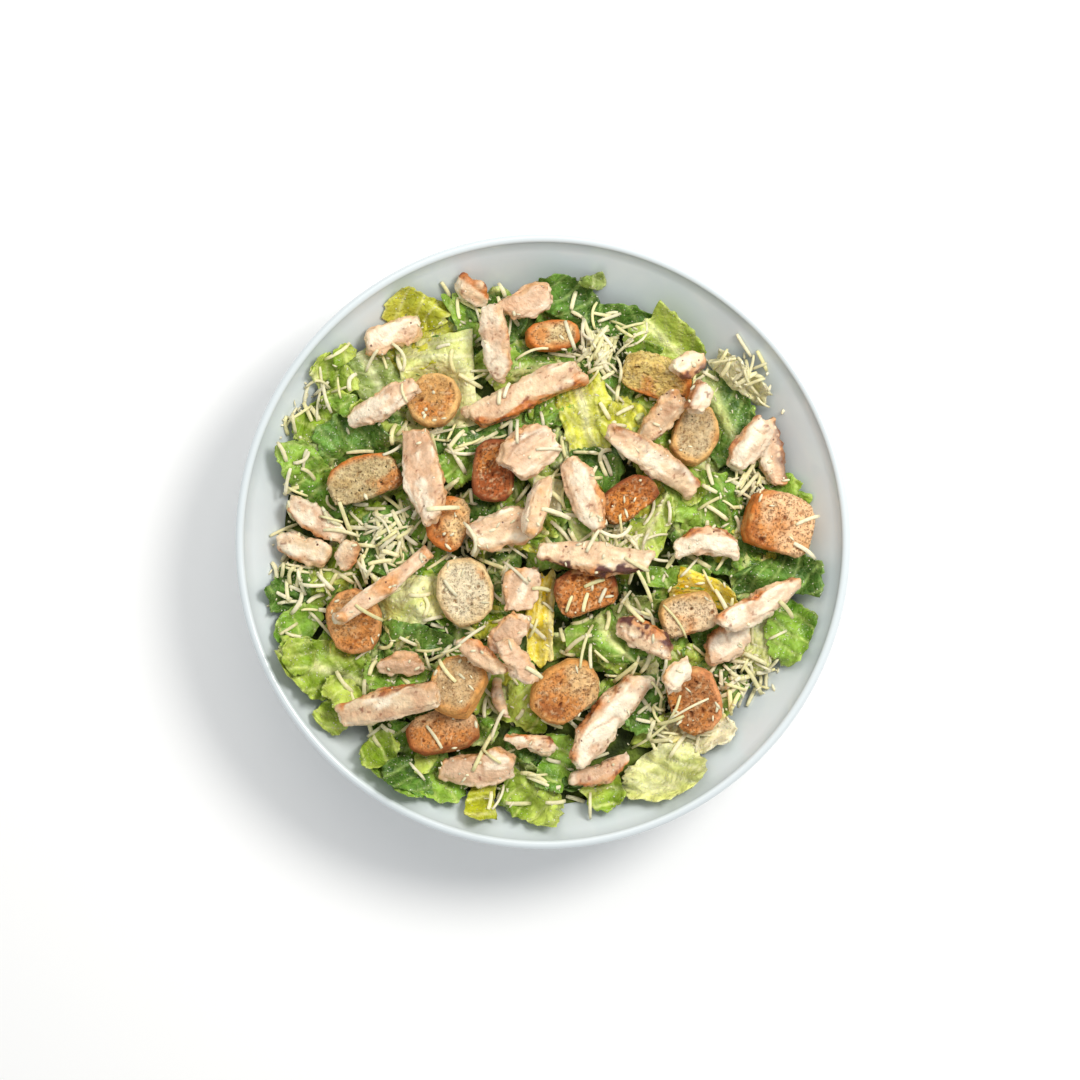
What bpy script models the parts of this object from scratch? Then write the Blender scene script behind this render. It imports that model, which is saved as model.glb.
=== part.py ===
"""A caesar salad in its white bowl: lettuce heap, croutons and chicken strips.

Metres and degrees. +Z is up, +X and +Y are the right and the top of the bowl as seen from
straight above. The origin is the centre of the foot ring's underside, on the table.
"""
import math
import random

import bmesh
import bpy
import numpy as np
from mathutils import Euler

# The bowl.
BOWL_HEIGHT = 0.068
LIP_OUTER_RADIUS = 0.135
LIP_THICKNESS = 0.004
FLOOR_RADIUS = 0.040
FLOOR_HEIGHT = 0.010
FOOT_OUTER_RADIUS = 0.052
FOOT_INNER_RADIUS = 0.046
FOOT_RECESS = 0.0035
FOOT_TAPER = 0.0015
FOOT_FLARE = 0.0012
UNDERSIDE_HEIGHT = 0.0055
WALL_CURVE = 1.7
BOWL_SEGMENTS = 40
WALL_STEPS = 6
LIP_STEPS = 4

LIP_RADIUS = LIP_THICKNESS / 2
WALL_TOP = BOWL_HEIGHT - LIP_RADIUS
WALL_TOP_RADIUS = LIP_OUTER_RADIUS - LIP_THICKNESS

# The heap of lettuce below the toppings. Its reach is given every 45 degrees from +X.
HEAP_REACH = (0.114, 0.103, 0.110, 0.114, 0.115, 0.113, 0.117, 0.112)
HEAP_PEAK = 0.062
HEAP_EDGE = 0.004
HEAP_DOME_POWER = 2.4
# Its bumps are waves along X, along Y and aslant, in radians a metre, and they fade at the edge.
HEAP_BUMP = 0.0022
BUMP_WAVES = (95, 88)
SLANTED_WAVES = (170, -120)
BUMP_SHIFT = 0.6
BUMP_FADE = 6
HEAP_TOP_RINGS = (1.0, 0.86, 0.68, 0.46, 0.23)
HEAP_BOTTOM_RINGS = (0.45, 0.72, 1.0)

BOWL_CLEARANCE = 0.0008
TOPPING_CLEARANCE = 0.0005
LEAF_THICKNESS = 0.0014
LEAF_REACH = 0.1275
# A leaf is rooted this deep in the heap on one side, and its other side stands free. Beyond
# this radius the free side looks outwards.
LEAF_ROOT = 0.0025
OUTER_LEAVES = 0.065
SHRED_WIDTH = 0.0022
SHRED_THICKNESS = 0.0012
SHRED_ARCH = 0.0010
SHRED_REACH = 0.122
SHRED_LENGTHS = (0.010, 0.022)
SHRED_BEND = 0.12
SHRED_COUNT = 30
SHREDS_IN_PILES = 0.6

# A topping is let down in the best of these tilts in degrees and shifts in metres. Shifting a
# metre and tilting a degree count as much as lying this much higher.
ROLLS = (-12, -6, 0, 6, 12)
PITCHES = (-16, -8, 0, 8, 16)
SHIFTS = (-0.003, -0.0015, 0.0, 0.0015, 0.003)
SHIFT_COST = 0.12
TILT_COST = 0.00003

# A leaf is pushed below the toppings in at most so many passes, each time this much too far.
PRESS_PASSES = 14
PRESS_MARGIN = 0.0001

FLAT_ANGLE = 1.5
MAP_CELL = 0.001
MAP_REACH = 0.140
CORE_SAMPLES = 24
TOPPING_SAMPLES = 6
SEED = 7

CERAMIC = (0.86, 0.88, 0.86)
LETTUCE = (0.12, 0.26, 0.06)
CHEESE = (0.8, 0.7, 0.4)
MEAT = (0.70, 0.46, 0.30)
GLOSSY = 0.2
MOIST = 0.5
DRY = 0.7

# Croutons, the lowest first: x, y, length, width, thickness, heading, roll, how square the outline
# is (2 is round), how much of one side is cut off straight (as a share of the half width), and
# the crumb's colour.
CREAM = (0.72, 0.56, 0.36)
TAN = (0.62, 0.40, 0.20)
ORANGE = (0.66, 0.32, 0.12)
DARK = (0.30, 0.08, 0.03)
CROUTONS = (
    (0.001, 0.089, 0.024, 0.013, 0.010, 5, 0, 3.4, 0.0, ORANGE),
    (-0.048, 0.062, 0.024, 0.023, 0.011, 60, 0, 2.0, 0.0, TAN),
    (-0.078, 0.026, 0.033, 0.023, 0.012, 20, 0, 3.0, 0.35, TAN),
    (-0.021, 0.031, 0.027, 0.020, 0.012, 88, 0, 3.2, 0.2, DARK),
    (-0.041, 0.008, 0.024, 0.018, 0.011, 75, 0, 2.4, 0.0, ORANGE),
    (0.047, 0.072, 0.031, 0.019, 0.012, -20, 34, 3.0, 0.3, ORANGE),
    (0.064, 0.044, 0.027, 0.021, 0.009, 75, 0, 2.2, 0.0, CREAM),
    (0.036, 0.017, 0.026, 0.020, 0.013, 35, 0, 2.8, 0.4, ORANGE),
    (0.101, 0.008, 0.030, 0.028, 0.016, -18, 0, 3.8, 0.12, ORANGE),
    (-0.083, -0.035, 0.029, 0.024, 0.010, -75, 0, 2.1, 0.0, ORANGE),
    (-0.031, -0.022, 0.031, 0.025, 0.010, -80, 0, 2.4, 0.0, CREAM),
    (-0.044, -0.083, 0.031, 0.021, 0.011, 12, -26, 2.6, 0.3, TAN),
    (-0.037, -0.067, 0.027, 0.024, 0.012, 60, 0, 2.6, 0.2, TAN),
    (0.019, -0.023, 0.028, 0.023, 0.014, 20, 0, 3.0, 0.3, ORANGE),
    (0.064, -0.033, 0.026, 0.020, 0.013, 15, 0, 3.2, 0.3, TAN),
    (0.067, -0.067, 0.031, 0.024, 0.011, -75, 10, 2.2, 0.0, TAN),
    (0.010, -0.066, 0.032, 0.026, 0.012, 40, 0, 2.3, 0.2, ORANGE),
)
# A slice from its lower to its upper face: how far its outline is drawn in, and the height as a
# share of the thickness.
SLICE_SECTIONS = ((0.90, -0.48), (1.0, -0.34), (1.0, 0.36), (0.91, 0.50))
SLICE_CORNERS = 10
OUTLINE_SWELL = (0.93, 1.06)
SECTION_WOBBLE = 0.02

# Chicken, the lowest first: x, y, length, width, thickness, heading, sideways bend, and how far
# each end narrows (1 is blunt).
CHICKEN = (
    (-0.005, 0.102, 0.021, 0.016, 0.010, 20, 0.000, 0.7, 0.8),
    (-0.018, 0.089, 0.033, 0.014, 0.010, -83, 0.001, 0.8, 0.35),
    (-0.007, 0.066, 0.052, 0.015, 0.011, 24, 0.001, 0.8, 0.9),
    (-0.069, 0.094, 0.024, 0.015, 0.010, 18, 0.000, 0.8, 0.7),
    (-0.032, 0.110, 0.015, 0.011, 0.008, -30, 0.000, 0.9, 0.5),
    (-0.067, 0.059, 0.034, 0.012, 0.009, 27, -0.001, 0.6, 0.6),
    (-0.055, 0.027, 0.042, 0.019, 0.010, -80, 0.000, 0.8, 0.35),
    (-0.100, 0.009, 0.029, 0.012, 0.009, -32, 0.001, 0.7, 0.7),
    (-0.103, -0.003, 0.022, 0.012, 0.009, -20, 0.000, 0.6, 0.8),
    (-0.089, -0.003, 0.012, 0.010, 0.008, 70, 0.000, 0.8, 0.6),
    (-0.019, 0.008, 0.032, 0.018, 0.010, 10, 0.001, 0.7, 0.9),
    (-0.006, 0.013, 0.026, 0.010, 0.012, 75, 0.000, 0.7, 0.7),
    (-0.003, 0.036, 0.025, 0.021, 0.012, 40, 0.000, 0.8, 0.7),
    (0.015, 0.022, 0.035, 0.016, 0.010, -65, 0.000, 0.75, 0.3),
    (0.019, -0.008, 0.048, 0.014, 0.011, -5, -0.001, 0.6, 0.8),
    (-0.010, -0.021, 0.019, 0.018, 0.011, 80, 0.000, 0.9, 0.8),
    (-0.015, -0.037, 0.020, 0.015, 0.010, 50, 0.000, 0.6, 0.8),
    (0.061, 0.074, 0.014, 0.011, 0.009, 40, 0.000, 0.9, 0.8),
    (0.054, 0.052, 0.026, 0.012, 0.010, 48, 0.000, 0.6, 0.8),
    (0.065, 0.063, 0.014, 0.011, 0.009, 62, 0.000, 0.9, 0.9),
    (0.046, 0.032, 0.046, 0.013, 0.011, -34, 0.001, 0.7, 0.8),
    (0.105, 0.038, 0.030, 0.012, 0.009, -80, -0.002, 0.6, 0.5),
    (0.094, 0.041, 0.023, 0.015, 0.011, 58, 0.000, 0.6, 0.7),
    (0.072, -0.004, 0.028, 0.014, 0.012, 2, 0.005, 0.7, 0.8),
    (-0.069, -0.018, 0.050, 0.009, 0.009, 38, 0.000, 0.7, 0.9),
    (-0.062, -0.052, 0.020, 0.011, 0.008, -5, 0.001, 0.7, 0.5),
    (-0.063, -0.071, 0.045, 0.016, 0.011, 12, 0.001, 0.7, 0.8),
    (-0.026, -0.051, 0.023, 0.010, 0.009, -38, 0.000, 0.6, 0.7),
    (-0.014, -0.055, 0.023, 0.010, 0.008, -52, 0.000, 0.8, 0.6),
    (-0.021, -0.068, 0.018, 0.006, 0.006, -75, -0.002, 0.6, 0.5),
    (-0.029, -0.096, 0.032, 0.017, 0.010, 2, -0.001, 0.5, 0.7),
    (-0.006, -0.088, 0.022, 0.009, 0.008, -8, 0.000, 0.4, 0.8),
    (0.047, -0.040, 0.027, 0.013, 0.010, -28, 0.001, 0.8, 0.6),
    (0.078, -0.048, 0.021, 0.016, 0.010, 30, 0.000, 0.7, 0.7),
    (0.092, -0.027, 0.041, 0.013, 0.010, 29, 0.000, 0.9, 0.3),
    (0.055, -0.055, 0.015, 0.012, 0.010, 40, 0.000, 0.8, 0.7),
    (0.022, -0.098, 0.027, 0.011, 0.009, 22, -0.003, 0.6, 0.6),
    (0.029, -0.077, 0.046, 0.016, 0.012, 52, 0.001, 0.75, 0.8),
)

# A strip's section is a box with this much rounding, its ends are cut aslant by up to END_SLANT,
# and a strip up to this short has fewer corners.
STRIP_SQUARENESS = 3.8
END_SLANT = 0.55
END_WIDTH = 0.85
END_THINNING = 0.6
STRIP_SECTIONS = 5
STRIP_SWELL = (0.86, 1.02)
STRIP_WOBBLE = 0.05
SHORT_STRIP = 0.020

# How the lettuce pieces are shaped: fold along the middle, ruffle, droop of the ends and steps
# along and across. The ruffle is a wave along and across the piece, in radians a half length. Its
# ends are narrower by END_NARROWING, and its edges are uneven.
RUFFLE_WAVES = (4.5, 2.6)
END_NARROWING = 0.55
LEAF_SWELL = (0.9, 1.08)
LEAF_SLIP = 0.06
LEAF_SHAPES = {
    "broad": (0.0015, 0.0008, 0.0010, 4, 3),
    "torn": (0.0030, 0.0014, 0.0020, 3, 3),
    "frill": (0.0020, 0.0026, 0.0010, 5, 3),
    "scrap": (0.0015, 0.0010, 0.0010, 3, 2),
}

# Lettuce pieces, the lowest first: shape, x, y, length, width, heading, and how far the middle
# stands above the bare heap.
LEAVES = (
    ("torn", -0.057, 0.101, 0.030, 0.018, -20, 0.003),
    ("torn", -0.035, 0.099, 0.026, 0.010, -62, 0.005),
    ("scrap", -0.024, 0.104, 0.017, 0.012, 0, 0.003),
    ("torn", -0.074, 0.072, 0.029, 0.020, -60, 0.003),
    ("torn", -0.096, 0.076, 0.030, 0.016, -40, 0.003),
    ("torn", -0.097, 0.054, 0.028, 0.018, 30, 0.002),
    ("frill", -0.086, 0.045, 0.033, 0.024, 10, 0.005),
    ("torn", -0.102, 0.029, 0.033, 0.018, -60, 0.006),
    ("broad", -0.046, 0.072, 0.044, 0.033, -84, 0.004),
    ("scrap", -0.042, 0.044, 0.020, 0.016, 0, 0.002),
    ("torn", -0.038, 0.033, 0.020, 0.015, -50, 0.004),
    ("torn", -0.070, 0.008, 0.027, 0.014, 12, 0.004),
    ("torn", 0.001, 0.083, 0.038, 0.016, 8, 0.005),
    ("torn", 0.008, 0.108, 0.031, 0.020, -18, 0.005),
    ("torn", 0.033, 0.098, 0.034, 0.015, -6, 0.004),
    ("broad", 0.056, 0.088, 0.032, 0.019, -42, 0.006),
    ("scrap", 0.024, 0.076, 0.018, 0.013, 0, 0.001),
    ("frill", 0.018, 0.057, 0.036, 0.023, -75, 0.006),
    ("torn", 0.036, 0.053, 0.022, 0.018, 60, 0.004),
    ("broad", 0.080, 0.055, 0.042, 0.028, -68, 0.005),
    ("torn", 0.088, 0.072, 0.034, 0.010, -40, 0.003),
    ("torn", 0.025, 0.033, 0.024, 0.015, -35, 0.004),
    ("frill", 0.074, 0.016, 0.034, 0.028, 20, 0.006),
    ("torn", 0.048, 0.008, 0.027, 0.016, 62, 0.005),
    ("scrap", 0.106, 0.024, 0.018, 0.012, -30, 0.003),
    ("frill", -0.091, -0.013, 0.026, 0.020, 20, 0.005),
    ("torn", -0.070, -0.007, 0.024, 0.016, -15, 0.004),
    ("frill", -0.110, -0.019, 0.024, 0.018, 60, 0.003),
    ("broad", -0.056, -0.027, 0.032, 0.022, 25, 0.004),
    ("torn", -0.108, -0.038, 0.022, 0.017, 60, 0.003),
    ("frill", -0.097, -0.056, 0.044, 0.026, -22, 0.007),
    ("torn", -0.056, -0.043, 0.030, 0.013, -12, 0.004),
    ("torn", -0.066, -0.059, 0.028, 0.013, 5, 0.003),
    ("frill", -0.064, -0.098, 0.037, 0.029, -30, 0.006),
    ("scrap", -0.062, -0.084, 0.013, 0.012, -60, 0.004),
    ("frill", -0.027, -0.114, 0.018, 0.014, 80, 0.005),
    ("torn", -0.007, -0.073, 0.024, 0.020, -20, 0.005),
    ("scrap", -0.008, -0.046, 0.018, 0.013, -40, 0.002),
    ("frill", -0.006, -0.114, 0.034, 0.020, -25, 0.004),
    ("broad", -0.001, -0.034, 0.040, 0.012, 87, 0.006),
    ("torn", 0.031, -0.044, 0.030, 0.018, -50, 0.006),
    ("scrap", 0.015, -0.041, 0.017, 0.013, 60, 0.003),
    ("torn", 0.060, -0.016, 0.032, 0.012, 0, 0.004),
    ("torn", 0.103, -0.014, 0.040, 0.017, 3, 0.004),
    ("torn", 0.072, -0.022, 0.028, 0.012, -18, 0.005),
    ("broad", 0.094, -0.045, 0.024, 0.019, 75, 0.003),
    ("frill", 0.109, -0.040, 0.028, 0.020, 60, 0.003),
    ("torn", 0.045, -0.072, 0.028, 0.016, 62, 0.003),
    ("broad", 0.066, -0.084, 0.036, 0.020, 28, 0.003),
    ("frill", 0.052, -0.104, 0.034, 0.022, 12, 0.004),
    ("torn", 0.028, -0.110, 0.018, 0.017, -50, 0.003),
    ("torn", 0.006, -0.098, 0.024, 0.017, 70, 0.004),
    ("torn", -0.092, -0.076, 0.024, 0.014, 50, 0.003),
    ("torn", -0.043, -0.108, 0.022, 0.015, 10, 0.004),
    ("scrap", 0.022, 0.113, 0.012, 0.007, -5, 0.002),
)

# Where shredded cheese lies thickest: x, y and spread.
CHEESE_PILES = (
    (0.026, 0.084, 0.010),
    (-0.068, 0.003, 0.012),
    (0.092, 0.024, 0.008),
    (0.084, 0.073, 0.014),
    (-0.103, 0.063, 0.010),
    (-0.032, -0.001, 0.008),
    (0.056, -0.075, 0.012),
    (0.030, 0.003, 0.008),
    (-0.045, 0.050, 0.012),
    (-0.104, -0.020, 0.010),
    (0.088, -0.058, 0.010),
)


def inner_height(radius):
    """Height of the bowl's inner wall at a radius."""
    share = (radius - FLOOR_RADIUS) / (WALL_TOP_RADIUS - FLOOR_RADIUS)
    return FLOOR_HEIGHT + (WALL_TOP - FLOOR_HEIGHT) * np.clip(share, 0, None) ** WALL_CURVE


def outer_height(radius):
    """Height of the bowl's underside at a radius."""
    share = (radius - FOOT_OUTER_RADIUS) / (LIP_OUTER_RADIUS - FOOT_OUTER_RADIUS)
    return UNDERSIDE_HEIGHT + (WALL_TOP - UNDERSIDE_HEIGHT) * np.clip(share, 0, None) ** WALL_CURVE


def heap_reach(angle):
    """How far the heap goes in one direction, eased between the given reaches."""
    place = (angle / math.tau * len(HEAP_REACH)) % len(HEAP_REACH)
    low = np.floor(place).astype(int) % len(HEAP_REACH)
    part = place - np.floor(place)
    ease = part * part * (3 - 2 * part)
    reaches = np.array(HEAP_REACH)
    return reaches[low] * (1 - ease) + reaches[(low + 1) % len(HEAP_REACH)] * ease


def heap_top(x, y):
    """Height of the bare heap, which stays level beyond its own edge."""
    reach = heap_reach(np.arctan2(y, x))
    share = np.minimum(np.hypot(x, y) / reach, 1.0)
    edge = inner_height(reach) + HEAP_EDGE
    dome = edge + (HEAP_PEAK - edge) * (1 - share ** HEAP_DOME_POWER)
    waves = np.sin(BUMP_WAVES[0] * x + BUMP_SHIFT) * np.cos(BUMP_WAVES[1] * y)
    waves = waves + np.sin(SLANTED_WAVES[0] * x + SLANTED_WAVES[1] * y)
    return dome + HEAP_BUMP * waves * (1 - share ** BUMP_FADE)


def wall_ground(x, y):
    """The lowest that anything may lie on the bowl's inner wall."""
    return inner_height(np.hypot(x, y)) + BOWL_CLEARANCE


def ground(x, y):
    """What a leaf lies on: the bare heap, or the bowl's wall where that is higher."""
    return np.maximum(heap_top(x, y), wall_ground(x, y))


def turn(points, heading, roll=0.0, pitch=0.0):
    """Points turned about X, then Y, then Z."""
    matrix = Euler((math.radians(roll), math.radians(pitch), math.radians(heading))).to_matrix()
    return points @ np.array(matrix).T


def material(name, colour, roughness):
    """A plain Principled material."""
    made = bpy.data.materials.new(name)
    made.use_nodes = True
    shader = made.node_tree.nodes["Principled BSDF"]
    shader.inputs["Base Color"].default_value = (*colour, 1.0)
    shader.inputs["Roughness"].default_value = roughness
    made.diffuse_color = (*colour, 1.0)
    return made


def solid(name, points, faces, colour, roughness):
    """One closed object from points and faces, with its faces turned outwards."""
    mesh = bpy.data.meshes.new(name)
    mesh.from_pydata([tuple(point) for point in points], [], faces)
    shape = bmesh.new()
    shape.from_mesh(mesh)
    bmesh.ops.recalc_face_normals(shape, faces=shape.faces)
    shape.to_mesh(mesh)
    shape.free()
    mesh.materials.append(material(name, colour, roughness))
    made = bpy.data.objects.new(name, mesh)
    bpy.context.scene.collection.objects.link(made)
    return made


def lathe(profile, segments):
    """Points and faces of a profile of (radius, height) turned about Z, closed at its two ends."""
    points = []
    faces = []
    for radius, height in profile:
        for step in range(segments):
            angle = math.tau * step / segments
            points.append((radius * math.cos(angle), radius * math.sin(angle), height))
    for ring in range(len(profile) - 1):
        for step in range(segments):
            after = (step + 1) % segments
            low = ring * segments
            high = low + segments
            faces.append((low + step, low + after, high + after, high + step))
    faces.append(tuple(range(segments))[::-1])
    faces.append(tuple(range(len(points) - segments, len(points))))
    return points, faces


def bowl_profile():
    """The bowl's section, from the middle of the recess under it round the lip to the floor."""
    profile = [
        (FOOT_INNER_RADIUS - FOOT_TAPER, FOOT_RECESS),
        (FOOT_INNER_RADIUS, 0.0),
        (FOOT_OUTER_RADIUS, 0.0),
    ]
    start = FOOT_OUTER_RADIUS + FOOT_FLARE
    for step in range(WALL_STEPS + 1):
        radius = start + step / WALL_STEPS * (LIP_OUTER_RADIUS - start)
        profile.append((radius, float(outer_height(radius))))
    middle = LIP_OUTER_RADIUS - LIP_RADIUS
    for step in range(1, LIP_STEPS):
        angle = math.pi * step / LIP_STEPS
        profile.append((middle + LIP_RADIUS * math.cos(angle), WALL_TOP + LIP_RADIUS * math.sin(angle)))
    for step in range(WALL_STEPS + 1):
        share = 1 - step / WALL_STEPS
        radius = FLOOR_RADIUS + share * (WALL_TOP_RADIUS - FLOOR_RADIUS)
        profile.append((radius, float(inner_height(radius))))
    return profile


def heap_core():
    """Points and faces of the bare heap: its underside follows the bowl, its top is a bumpy dome."""
    angles = [math.tau * step / BOWL_SEGMENTS for step in range(BOWL_SEGMENTS)]
    points = [(0.0, 0.0, FLOOR_HEIGHT + BOWL_CLEARANCE)]
    for share in HEAP_BOTTOM_RINGS:
        for angle in angles:
            radius = share * float(heap_reach(angle))
            height = float(inner_height(radius)) + BOWL_CLEARANCE
            points.append((radius * math.cos(angle), radius * math.sin(angle), height))
    for share in HEAP_TOP_RINGS:
        for angle in angles:
            radius = share * float(heap_reach(angle))
            x, y = radius * math.cos(angle), radius * math.sin(angle)
            points.append((x, y, float(heap_top(x, y))))
    points.append((0.0, 0.0, float(heap_top(0.0, 0.0))))
    rings = len(HEAP_BOTTOM_RINGS) + len(HEAP_TOP_RINGS)
    last = len(points) - 1
    faces = []
    for step in range(BOWL_SEGMENTS):
        after = (step + 1) % BOWL_SEGMENTS
        faces.append((0, 1 + after, 1 + step))
        for ring in range(rings - 1):
            low = 1 + ring * BOWL_SEGMENTS
            high = low + BOWL_SEGMENTS
            faces.append((low + step, low + after, high + after))
            faces.append((low + step, high + after, high + step))
        top = 1 + (rings - 1) * BOWL_SEGMENTS
        faces.append((top + step, top + after, last))
    return points, faces


def tube(sections):
    """Points and triangles of a skin over sections of equal point counts, with flat ends."""
    count = len(sections[0])
    points = np.concatenate(sections)
    faces = []
    for ring in range(len(sections) - 1):
        for step in range(count):
            after = (step + 1) % count
            low = ring * count
            high = low + count
            faces.append((low + step, low + after, high + after))
            faces.append((low + step, high + after, high + step))
    top = (len(sections) - 1) * count
    for step in range(1, count - 1):
        faces.append((0, step + 1, step))
        faces.append((top, top + step, top + step + 1))
    return points, faces


def rounded(angle, power):
    """A point on a rounded square of half width 1, the squarer the higher the power."""
    across, up = math.cos(angle), math.sin(angle)
    return (
        math.copysign(abs(across) ** (2 / power), across),
        math.copysign(abs(up) ** (2 / power), up),
    )


def crouton(length, width, thickness, squareness, cut, rng):
    """A toasted slice of thin bread with bevelled edges and one side cut straight."""
    outline = []
    for corner in range(SLICE_CORNERS):
        across, up = rounded(math.tau * (corner + 0.5) / SLICE_CORNERS, squareness)
        swell = rng.uniform(*OUTLINE_SWELL)
        outline.append((across * swell * length / 2, max(up * swell, cut - 1) * width / 2))
    sections = []
    for inset, height in SLICE_SECTIONS:
        inset += rng.uniform(-SECTION_WOBBLE, SECTION_WOBBLE)
        sections.append(np.array([
            (x * inset, y * inset, (height + rng.uniform(-SECTION_WOBBLE, SECTION_WOBBLE)) * thickness)
            for x, y in outline
        ]))
    return tube(sections)


def chicken_strip(length, width, thickness, bend, first_end, last_end, rng):
    """A strip of grilled chicken: an uneven slab that narrows to its slanting ends."""
    sections = []
    corners = 8 if length > SHORT_STRIP else 6
    slants = (rng.uniform(-END_SLANT, END_SLANT), rng.uniform(-END_SLANT, END_SLANT))
    for step in range(STRIP_SECTIONS):
        share = step / (STRIP_SECTIONS - 1)
        away = abs(2 * share - 1)
        end, slant = (first_end, slants[0]) if share < 0.5 else (last_end, slants[1])
        taper = 1 - (1 - end * END_WIDTH) * away ** 3
        wide = width / 2 * taper * rng.uniform(*STRIP_SWELL)
        thinner = 1 - END_THINNING * (1 - taper)
        high = thickness / 2 * thinner * rng.uniform(*STRIP_SWELL)
        middle = bend * (1 - away ** 2) + rng.uniform(-STRIP_WOBBLE, STRIP_WOBBLE) * width
        ring = []
        for corner in range(corners):
            across, up = rounded(math.tau * (corner + 0.5) / corners, STRIP_SQUARENESS)
            swell = rng.uniform(*OUTLINE_SWELL)
            x = length * (share - 0.5) + slant * away ** 2 * across * wide
            x += rng.uniform(-STRIP_WOBBLE, STRIP_WOBBLE) * width
            ring.append((x, middle + across * wide * swell, up * high * swell))
        sections.append(np.array(ring))
    return tube(sections)


def surface_samples(points, faces, steps=TOPPING_SAMPLES):
    """Points spread over triangles, with the share of each corner in every one of them."""
    shares = np.array([
        (first / steps, second / steps, (steps - first - second) / steps)
        for first in range(steps + 1)
        for second in range(steps + 1 - first)
    ])
    corners = points[np.array(faces)]
    return np.einsum("sk,fkc->fsc", shares, corners), shares


class HeightMap:
    """Heights over a square grid of cells, seen from straight above."""

    def __init__(self, start):
        self.steps = int(2 * MAP_REACH / MAP_CELL) + 1
        axis = np.linspace(-MAP_REACH, MAP_REACH, self.steps)
        x, y = np.meshgrid(axis, axis, indexing="ij")
        self.height = start(x, y)

    def cells(self, points):
        """Grid rows and columns of points."""
        places = np.rint((points[..., :2] + MAP_REACH) / MAP_CELL).astype(int)
        places = np.clip(places, 0, self.steps - 1)
        return places[..., 0], places[..., 1]

    def raise_to(self, points):
        """Lift the cells under the points to their heights."""
        np.maximum.at(self.height, self.cells(points), points[..., 2])

    def lower_to(self, points):
        """Drop the cells above the points to their heights."""
        np.minimum.at(self.height, self.cells(points), points[..., 2])

    def spread(self, keep):
        """The map with every cell joined with the eight round it."""
        padded = np.pad(self.height, 1, mode="edge")
        views = [
            padded[row:row + self.steps, column:column + self.steps]
            for row in range(3)
            for column in range(3)
        ]
        return keep.reduce(views)


def settle(points, faces, x, y, heading, roll, below):
    """Let a topping down onto what lies below it: small shifts and tilts are tried, and the one
    that lets its middle come lowest is kept. Returns its place and its two tilts."""
    samples, _ = surface_samples(points, faces)
    samples = samples.reshape(-1, 3)
    tops = below.spread(np.maximum)
    best = None
    for more_roll in ROLLS:
        for pitch in PITCHES:
            turned = turn(samples, heading, roll + more_roll, pitch)
            for dx in SHIFTS:
                for dy in SHIFTS:
                    moved = turned + (x + dx, y + dy, 0.0)
                    lift = float((tops[below.cells(moved)] - moved[:, 2]).max()) + TOPPING_CLEARANCE
                    cost = lift + SHIFT_COST * (abs(dx) + abs(dy))
                    cost += TILT_COST * (abs(more_roll) + abs(pitch))
                    if best is None or cost < best[0]:
                        best = (cost, (x + dx, y + dy, lift), roll + more_roll, pitch)
    return best[1:]


def leaf_grid(shape, x, y, length, width, heading, lift, rng):
    """The middle surface of a torn piece of lettuce, laid over the heap: points row by row."""
    fold, ruffle, droop, steps_along, steps_across = LEAF_SHAPES[shape]
    phase = rng.uniform(0, math.tau)
    rows = []
    for row in range(steps_along + 1):
        along = 2 * row / steps_along - 1
        narrow = (1 - END_NARROWING * abs(along) ** 3) * rng.uniform(*LEAF_SWELL)
        for column in range(steps_across + 1):
            across = 2 * column / steps_across - 1
            slip = rng.uniform(-LEAF_SLIP, LEAF_SLIP) * length
            relief = (
                fold * (abs(across) - 0.5)
                + ruffle * math.sin(RUFFLE_WAVES[0] * along + RUFFLE_WAVES[1] * across + phase)
                - droop * along ** 2
            )
            rows.append((along * length / 2 + slip, across * narrow * width / 2, relief))
    grid = turn(np.array(rows), heading) + (x, y, 0.0)
    if math.hypot(x, y) > OUTER_LEAVES:
        free_side = math.atan2(y, x)
    else:
        free_side = rng.uniform(0, math.tau)
    offset = (grid[:, :2] - (x, y)) @ (math.cos(free_side), math.sin(free_side))
    rise = (1 + offset / np.abs(offset).max()) / 2
    radius = np.hypot(grid[:, 0], grid[:, 1])
    grid[:, :2] *= np.minimum(1, LEAF_REACH / radius)[:, None]
    grid[:, 2] += ground(grid[:, 0], grid[:, 1]) - LEAF_ROOT + (2 * lift + LEAF_ROOT) * rise
    return grid, (steps_along + 1, steps_across + 1)


def grid_triangles(rows, columns):
    """Triangles over a grid of points."""
    faces = []
    for row in range(rows - 1):
        for column in range(columns - 1):
            corner = row * columns + column
            faces.append((corner, corner + columns, corner + columns + 1))
            faces.append((corner, corner + columns + 1, corner + 1))
    return faces


def thick_sheet(grid, rows, columns, thickness):
    """A closed solid round a grid: both faces split alike, joined along the rim."""
    count = rows * columns
    up = np.array((0.0, 0.0, thickness / 2))
    points = np.concatenate((grid + up, grid - up))
    upper = grid_triangles(rows, columns)
    faces = list(upper)
    faces += [(a + count, c + count, b + count) for a, b, c in upper]
    rim = [column for column in range(columns)]
    rim += [row * columns + columns - 1 for row in range(1, rows)]
    rim += [(rows - 1) * columns + column for column in range(columns - 2, -1, -1)]
    rim += [row * columns for row in range(rows - 2, 0, -1)]
    for place, corner in enumerate(rim):
        after = rim[(place + 1) % len(rim)]
        faces.append((corner, after, after + count))
        faces.append((corner, after + count, corner + count))
    return points, faces


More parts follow.
